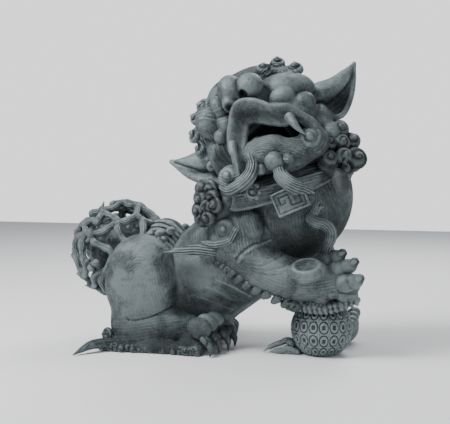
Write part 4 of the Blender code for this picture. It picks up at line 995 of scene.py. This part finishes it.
def make_face():
    a = HEAD_AXES
    e = head_block((0.03, -0.23, -0.05), (0.27, -0.05, 0.13), 0.0024)
    e.add(egg(at(0.15, -0.122, 0.037), (0.118, 0.072, 0.066), turned(0, 24, 0) @ a), 0.006)
    e.add(egg(at(0.148, -0.15, 0.03), (0.066, 0.06, 0.058), a), 0.012)
    e.hair(path(heads([(0.06, -0.15, 0.085), (0.12, -0.17, 0.105), (0.19, -0.16, 0.085),
                       (0.24, -0.13, 0.03)])), 0.01, 0.035, depth=0.0015, across=FRONT)
    cast("left_eye", e, BODY)
    e = head_block((-0.27, -0.22, -0.02), (-0.1, -0.06, 0.17), 0.0024)
    e.add(egg(at(-0.18, -0.135, 0.07), (0.06, 0.052, 0.072), a), 0.006)
    for k in range(3):
        fold = [(-0.215 + 0.006 * k, -0.16, 0.125 - 0.018 * k), (-0.178, -0.19, 0.118 - 0.022 * k),
                (-0.145, -0.19, 0.09 - 0.022 * k)]
        e.crease(heads(fold), 0.006, 0.0022, 0.05, FRONT)
    e.hair(path(heads([(-0.23, -0.12, 0.13), (-0.235, -0.13, 0.06), (-0.2, -0.15, 0.0)])), 0.01, 0.045,
           depth=0.003, across=FRONT)
    cast("right_eye", e, BODY)
    c = head_block((0.06, -0.26, -0.14), (0.26, -0.08, 0.04), 0.0024)
    head_eggs(c, ((0.128, -0.185, -0.016), (0.054, 0.048, 0.044), 0.004),
              ((0.192, -0.15, -0.068), (0.046, 0.048, 0.044), 0.004))
    cast("left_cheek", c, BODY)
    c = head_block((-0.21, -0.26, -0.07), (-0.06, -0.12, 0.16), 0.0024)
    head_eggs(c, ((-0.112, -0.18, 0.088), (0.034, 0.048, 0.048), 0.004),
              ((-0.16, -0.165, -0.02), (0.029, 0.034, 0.03), 0.004),
              ((-0.12, -0.16, 0.02), (0.036, 0.04, 0.045), 0.01))
    for k in range(4):
        fold = [(-0.145, -0.22, 0.075 - 0.016 * k), (-0.112, -0.24, 0.062 - 0.016 * k),
                (-0.085, -0.24, 0.066 - 0.016 * k)]
        c.crease(heads(fold), 0.005, 0.0018, 0.05, FRONT)
    cast("right_cheek", c, BODY)

    brows = {"left": [(0.111, -0.11, 0.165), (0.171, -0.092, 0.17), (0.222, -0.09, 0.108)],
             "right": [(-0.175, -0.115, 0.158), (-0.225, -0.095, 0.14), (-0.262, -0.075, 0.085),
                       (-0.27, -0.06, 0.02)]}
    for side, spots in brows.items():
        spots = np.array(spots)
        s = 1.0 if side == "left" else -1.0
        k = head_block(spots.min(axis=0) - 0.065, spots.max(axis=0) + 0.055, 0.0022)
        root = [(x - 0.022 * s, y + 0.01, z - 0.022) for x, y, z in spots]
        k.add(lock(heads(root), (0.03, 0.036, 0.028)), 0.01)
        k.hair(path(heads([(x - 0.02 * s, y - 0.02, z - 0.025) for x, y, z in spots])), 0.01, 0.05,
               depth=0.003, across=FRONT)
        for i, (x, y, z) in enumerate(spots):
            out = HEAD_AXES @ (0.5 * s, -1, 0.5)
            k.curl(at(x, y, z), out, 0.037 if i != 1 else 0.033, turns=1.5, depth=0.005,
                   hand=1.0 if i % 2 else -1.0, dome=0.62, nub=0.34, start=1.3 * i)
        cast(side + "_brow", k, WORN, wear=0.008)

    k = head_block((-0.06, -0.27, -0.29), (0.04, -0.17, -0.19), 0.002)
    k.add(egg(at(-0.014, -0.215, -0.242), (0.038, 0.038, 0.038), a), 0.004)
    cast("chin_ball", k, WORN)
    k = head_block((0.08, -0.27, -0.3), (0.23, -0.13, -0.15), 0.002)
    k.add(egg(at(0.15, -0.182, -0.226), (0.052, 0.03, 0.052), a), 0.006)
    k.curl(at(0.15, -0.192, -0.226), HEAD_AXES @ (0.05, -1, 0), 0.046, turns=1.6, depth=0.0035, dome=0.55,
           nub=0.36)
    cast("left_whisker_curl", k, WORN, wear=0.006)
    k = head_block((-0.31, -0.28, -0.33), (-0.06, -0.13, -0.13), 0.002)
    sweep = [(-0.092, -0.205, -0.165), (-0.094, -0.222, -0.215), (-0.122, -0.23, -0.25),
             (-0.168, -0.226, -0.262), (-0.22, -0.205, -0.252), (-0.245, -0.19, -0.215)]
    k.tress(heads(sweep), (0.01, 0.024, 0.029, 0.029, 0.024, 0.012), 0.006, 0.0095, 0.06, 0.003, FRONT)
    k.curl(at(-0.198, -0.195, -0.2), HEAD_AXES @ (-0.1, -1, 0), 0.05, turns=1.5, depth=0.004, dome=0.6,
           nub=0.32)
    cast("right_whisker_curl", k, WORN, wear=0.006)
    k = head_block((-0.07, -0.28, -0.46), (0.1, -0.17, -0.23), 0.002)
    sweep = [(-0.012, -0.2, -0.262), (-0.016, -0.222, -0.311), (-0.004, -0.232, -0.352),
             (0.02, -0.228, -0.39), (0.045, -0.222, -0.412), (0.066, -0.218, -0.44)]
    k.tress(heads(sweep), (0.022, 0.029, 0.032, 0.028, 0.016, 0.003), 0.004, 0.009, 0.05, 0.003, FRONT)
    cast("left_beard_lock", k, WORN, wear=0.006)


def make_ears():
    k = head_block((0.16, -0.1, -0.15), (0.46, 0.08, 0.08), 0.0022)
    k.add(lock(heads([(0.2, -0.02, -0.01), (0.262, -0.028, -0.012), (0.318, -0.024, -0.012),
                      (0.38, -0.012, 0.006), (0.44, 0.0, 0.04)]), (0.05, 0.046, 0.036, 0.026, 0.004)),
          0.008)
    k.sheet(heads([(0.21, 0.02, -0.01), (0.27, 0.022, 0.0), (0.34, 0.016, 0.0), (0.395, 0.008, 0.015),
                   (0.436, 0.0, 0.038)]), heads([(0.22, 0.018, -0.1), (0.29, 0.024, -0.122),
            (0.348, 0.02, -0.086), (0.398, 0.01, -0.026), (0.438, 0.0, 0.036)]), 0.012, 0.008, 7, 0.25)
    k.add(rod(path(heads([(0.225, -0.005, -0.098), (0.29, 0.008, -0.124), (0.348, 0.008, -0.088),
                          (0.398, 0.004, -0.026), (0.436, 0.0, 0.036)])), np.linspace(0.01, 0.003, 25)),
          0.006)
    k.curl(at(0.232, -0.04, -0.075), HEAD_AXES @ (0.2, -1, 0), 0.026, turns=1.4)
    # Painted shade in the hollow of the ear.
    k.painted_shade(egg(at(0.3, -0.01, -0.072), (0.05, 0.03, 0.022)), 0.45, 0.03)
    cast("left_ear", k, WORN)
    k = head_block((-0.44, -0.12, -0.14), (-0.16, 0.08, 0.11), 0.0022)
    k.add(lock(heads([(-0.2, 0.0, -0.04), (-0.262, -0.008, -0.02), (-0.318, -0.012, 0.0),
                      (-0.368, -0.006, 0.03), (-0.418, 0.0, 0.074)]), (0.062, 0.06, 0.046, 0.028, 0.004)),
          0.008)
    k.sheet(heads([(-0.22, 0.02, -0.04), (-0.3, 0.02, -0.01), (-0.37, 0.01, 0.03), (-0.416, 0.0, 0.072)]),
            heads([(-0.25, -0.01, -0.1), (-0.318, -0.02, -0.088), (-0.368, -0.012, -0.03),
                   (-0.416, 0.0, 0.07)]), 0.016, 0.01, 7, 0.2)
    k.press(path(heads([(-0.235, -0.08, -0.075), (-0.3, -0.08, -0.055), (-0.355, -0.07, -0.005),
                        (-0.4, -0.06, 0.055)])), 0.01, -0.007, flat=FRONT, reach=0.07)
    k.curl(at(-0.262, -0.058, -0.062), HEAD_AXES @ (-0.2, -1, 0), 0.024, turns=1.3)
    cast("right_ear", k, WORN)


def make_mane():
    groups = {"left": [(0.245, -0.08, -0.15, 0.036), (0.268, -0.07, -0.203, 0.036),
                       (0.252, -0.08, -0.262, 0.04), (0.208, -0.1, -0.245, 0.034),
                       (0.292, -0.04, -0.262, 0.034), (0.236, -0.09, -0.322, 0.042),
                       (0.268, -0.055, -0.34, 0.04), (0.18, -0.125, -0.308, 0.036),
                       (0.215, -0.06, -0.36, 0.036)], "right": [(-0.29, -0.125, -0.17064, 0.036),
            (-0.318, -0.115, -0.15, 0.034), (-0.296, -0.125, -0.20848, 0.038),
            (-0.345, -0.105, -0.18612, 0.036), (-0.372, -0.095, -0.2188, 0.036),
            (-0.332, -0.12, -0.236, 0.04), (-0.378, -0.09, -0.2532, 0.034),
            (-0.3, -0.13, -0.24632, 0.034), (-0.35, -0.11, -0.26868, 0.034)]}
    for side, spots in groups.items():
        spots = np.array(spots)
        k = head_block(spots[:, :3].min(axis=0) - 0.055, spots[:, :3].max(axis=0) + 0.06, 0.0026)
        k.add(rod([at(x - 0.03 * np.sign(x), y + 0.04, z) for x, y, z, r in spots], 0.034), 0.01)
        for i, (x, y, z, r) in enumerate(spots):
            out = np.array([0.55 * np.sign(x), -0.9, -0.1])
            k.curl(at(x - 0.01, y, z), HEAD_AXES @ out, (1.04 + 0.14 * math.sin(2.3 * i)) * r, turns=1.35,
                   depth=0.0065, hand=1.0 if i % 2 else -1.0, dome=0.66, nub=0.26, start=1.1 * i)
        cast(side + "_mane", k, DARK_PATINA_AND_SHADE)
    k = head_block((-0.27, 0.0, -0.36), (0.29, 0.3, 0.24), 0.004)
    k.add(egg(at(0.01, 0.055, -0.06), (0.215, 0.185, 0.255), HEAD_AXES), 0.01)
    for row, (z, reach, count) in enumerate(((0.205, 0.135, 4), (0.13, 0.19, 6), (0.05, 0.218, 7),
            (-0.03, 0.235, 7), (-0.11, 0.238, 7), (-0.19, 0.23, 6), (-0.27, 0.212, 5))):
        for i in range(count):
            turn = math.radians(-66.0 + 132.0 * (i + 0.5 * (row % 2)) / (count - 0.5))
            out = HEAD_AXES @ (math.sin(turn), math.cos(turn), 0.9 - 0.22 * row)
            k.curl(at(0.01 + reach * math.sin(turn), 0.05 + reach * 0.84 * math.cos(turn), z), out, 0.044,
                   turns=2.0, depth=0.005, hand=1.0 if i % 2 else -1.0)
    cast("nape_mane", k, DARK_PATINA_AND_SHADE)
    k = head_block((0.11, -0.16, -0.49), (0.21, -0.06, -0.34), 0.0022)
    drop = [at(0.172, -0.1, -0.37), at(0.168, -0.112, -0.405), at(0.158, -0.112, -0.44),
            at(0.15, -0.106, -0.468)]
    k.add(lock(drop, (0.018, 0.032, 0.026, 0.005)), 0.004)
    k.add(lock([p + HEAD_AXES @ (0.0, -0.014, 0.004) for p in drop], (0.01, 0.022, 0.017, 0.003)), 0.001)
    # Painted shade over the drop lock at the side of the neck.
    k.painted_shade(rod(drop, 0.03), 0.35, 0.02)
    cast("mane_drop_lock", k, DARK_PATINA_AND_SHADE)


# ---------------------------------------------------------------- tail
TAIL = np.array([-0.425, 0.0, 0.392])
TAIL_R, STRAND = 0.215, 0.0145
# Runs of the openwork over one half of the ball, as degrees round it from the lion's right and degrees up.
RUNS = (
    ((-41, 58), (-21, 66), (0, 80), (40, 74), (60, 66), (34, 50)),
    ((-60, 78), (100, 80), (84, 62), (76, 48), (80, 30)),
    ((60, 66), (76, 58), (74, 42)),
    ((-35, 55), (-8, 46), (0, 38), (0, 29), (5, 20), (14, 10), (30, -2)),
    ((34, 50), (14, 42), (0, 38)),
    ((-7, 37), (-20, 27), (-39, 23), (-52, 27), (-60, 34), (-49, 41), (-36, 39)),
    ((-36, 39), (-41, 58), (-72, 52), (-106, 46)),
    ((-60, 34), (-85, 32), (-106, 36)),
    ((-39, 23), (-34, 16), (-28, 12), (-18, 8), (-9, 4), (-6, -6), (-16, -22), (-28, -36), (-34, -56)),
    ((-50, 22), (-53, 12), (-52, 1), (-48, -9), (-40, -16), (-27, -12)),
    ((-68, 18), (-83, 10), (-84, -2), (-81, -12), (-79, -26), (-72, -34), (-50, -24), (-43, -12)),
    ((-85, 32), (-80, 20), (-68, 18), (-53, 20)),
    ((-84, -2), (-106, 6)),
    ((-77, -30), (-106, -26)),
    ((-77, -33), (-75, -42), (-70, -50), (-50, -45), (-34, -28), (-16, -22)),
    ((-70, -50), (-62, -64), (-106, -74)),
    ((36, 46), (41, 40), (34, 22), (28, 8), (4, -6)),
    ((34, 22), (58, 14), (76, 16)),
    ((41, 40), (60, 34), (78, 32)),
    ((28, 8), (44, -6), (40, -28), (22, -54), (-20, -70)),
    ((4, -6), (12, -30), (-6, -52), (-34, -56)),
    ((44, -6), (66, -14), (76, -30), (40, -28)),
    ((66, -14), (76, 0)),
)


def tail_point(lon, lat, radius):
    """A point of the tail ball from its angles; 0 degrees faces the lion's right and a little forward."""
    a, b = math.radians(lon - 74.0), math.radians(lat)
    return TAIL + radius * np.array([math.cos(b) * math.cos(a), math.cos(b) * math.sin(a), math.sin(b)])


def make_tail():
    b = Block(TAIL - 0.25, TAIL + np.array([0.36, 0.25, 0.25]), 0.0032)
    for side in (1.0, -1.0):
        flip = np.array([1.0, side, 1.0])
        for i, run in enumerate(RUNS):
            spots = [tail_point(lon, lat, TAIL_R - STRAND - 0.004 * ((i + k) % 2)) * flip for k,
                     (lon, lat) in enumerate(run)]
            line = path(spots, 4)
            thick = 1.1 * STRAND * (1.0 + 0.1 * np.sin(0.9 * np.arange(len(line)) + i))
            b.add(rod(line, thick), 0.007)
            b.hair(line, 0.0085, 0.022, depth=0.0018, across=(0.3, -side, 0.1))
        for lon, lat in ((-82, -14), (-78, -36), (-84, 14), (-70, -52), (-60, 60)):
            root = tail_point(lon, lat, TAIL_R - 0.02) * flip
            tip = tail_point(lon - 4, lat + 9, TAIL_R + 0.008) * flip
            b.add(lock([root, 0.5 * (root + tip) + (0, 0, -0.004), tip], (0.014, 0.009, 0.002)), 0.004)
        b.add(egg(tail_point(-35, -18, TAIL_R - 0.012) * flip, 0.019), 0.003)
        for k in range(5):
            lift = -0.016 * k
            y = side * (0.035 + 0.024 * k)
            hank = [(-0.285, y * 0.9, 0.49 + lift), (-0.26, y, 0.503 + lift),
                    (-0.228, y * 1.02, 0.508 + lift), (-0.19, y, 0.496 + lift),
                    (-0.158, y * 0.95, 0.47 + lift), (-0.13, y * 0.9, 0.44 + lift)]
            b.tress(hank, (0.012, 0.019, 0.02, 0.019, 0.016, 0.01), 0.004, 0.009, 0.03, 0.003,
                    (0.2, -side, 0.5))
        for x, y, z in ((-0.168, 0.096, 0.484), (-0.208, 0.122, 0.472), (-0.25, 0.12, 0.466),
                        (-0.19, 0.13, 0.446), (-0.23, 0.136, 0.446)):
            b.curl((x, side * y, z), (0.0, side, 0.5), 0.02, turns=1.2)
    b.add(rod([(-0.28, 0.0, 0.485), (-0.21, 0.0, 0.49), (-0.14, 0.0, 0.44)], (0.02, 0.03, 0.02)), 0.01)
    b.add(egg((-0.205, 0, 0.445), (0.07, 0.095, 0.05), turned(0, 30, 0)), 0.01)
    cast("tail_strands", b, WORN, wear=0.008)
    c = Block(TAIL - 0.2, TAIL + 0.24, 0.004)
    c.add(egg(TAIL + (0.03, 0, -0.025), (0.138, 0.13, 0.14)), 0.006)
    c.add(egg(TAIL + (0.08, 0, -0.06), (0.13, 0.145, 0.13)), 0.02)
    for lon in range(-90, 90, 26):
        for lat in range(-50, 60, 24):
            for side in (1.0, -1.0):
                spot = tail_point(lon + 9 * ((lat // 24) % 2), lat, 0.132) * np.array([1.0, side, 1.0])
                c.curl(spot, spot - TAIL, 0.034, turns=1.3, depth=0.004, dome=0.3, nub=0.2, blend=0.01)
    cast("tail_core", c, DARK_PATINA_AND_SHADE)


# ---------------------------------------------------------------- stage
def make_stage():
    plane = bpy.data.meshes.new("floor")
    plane.from_pydata([(-6, -6, 0), (6, -6, 0), (6, 6, 0), (-6, 6, 0)], [], [(0, 1, 2, 3)])
    floor = bpy.data.objects.new("floor", plane)
    bpy.context.scene.collection.objects.link(floor)
    paint = bpy.data.materials.new("floor")
    paint.use_nodes = True
    shader = paint.node_tree.nodes["Principled BSDF"]
    shader.inputs["Base Color"].default_value = (0.93, 0.93, 0.94, 1.0)
    shader.inputs["Roughness"].default_value = 0.9
    plane.materials.append(paint)
    world = bpy.data.worlds.new("studio")
    world.use_nodes = True
    nodes, links = world.node_tree.nodes, world.node_tree.links
    soft = nodes["Background"]
    soft.inputs["Color"].default_value = (0.9, 0.95, 1.0, 1.0)
    soft.inputs["Strength"].default_value = 0.27
    seen = nodes.new("ShaderNodeBackground")
    seen.inputs["Color"].default_value = (1.0, 1.0, 1.0, 1.0)
    seen.inputs["Strength"].default_value = 1.5
    either = nodes.new("ShaderNodeMixShader")
    links.new(nodes.new("ShaderNodeLightPath").outputs["Is Camera Ray"], either.inputs["Fac"])
    links.new(soft.outputs["Background"], either.inputs[1])
    links.new(seen.outputs["Background"], either.inputs[2])
    links.new(either.outputs["Shader"], nodes["World Output"].inputs["Surface"])
    bpy.context.scene.world = world
    for name, place, size, power in (("key", (-2.4, -2.2, 4.4), 2.2, 320.0),
                                     ("fill", (3.8, -3.2, 2.2), 3.0, 35.0),
                                     ("rim", (0.8, 3.4, 3.6), 2.5, 110.0),
                                     ("sky", (0.0, 1.0, 5.2), 8.0, 90.0)):
        lamp = bpy.data.lights.new(name, "AREA")
        lamp.size = size
        lamp.energy = power
        obj = bpy.data.objects.new(name, lamp)
        bpy.context.scene.collection.objects.link(obj)
        obj.location = place
        aim = np.array([0.0, 0.0, 0.6]) - np.array(place)
        obj.rotation_euler = (math.atan2(math.hypot(aim[0], aim[1]), -aim[2]), 0.0,
                              math.atan2(aim[1], aim[0]) - math.pi / 2)


def make_camera():
    azimuth, height, away, tilt = math.radians(16.0), 0.85, 4.4, 3.78
    target = np.array([0.039, 0.0]) + SHIFT[:2]
    camera = bpy.data.cameras.new("camera")
    camera.sensor_width = 36.0
    camera.lens = 84.08
    obj = bpy.data.objects.new("camera", camera)
    obj.location = (target[0] + away * math.sin(azimuth), target[1] - away * math.cos(azimuth), height)
    obj.rotation_euler = (math.radians(90.0 - tilt), 0.0, azimuth)
    bpy.context.scene.collection.objects.link(obj)
    bpy.context.scene.camera = obj


make_body()
make_hind_legs()
make_forelegs()
make_ball()
make_flank_hair()
make_collar()
make_skull()
make_muzzle()
make_face()
make_ears()
make_mane()
make_tail()
make_stage()
make_camera()
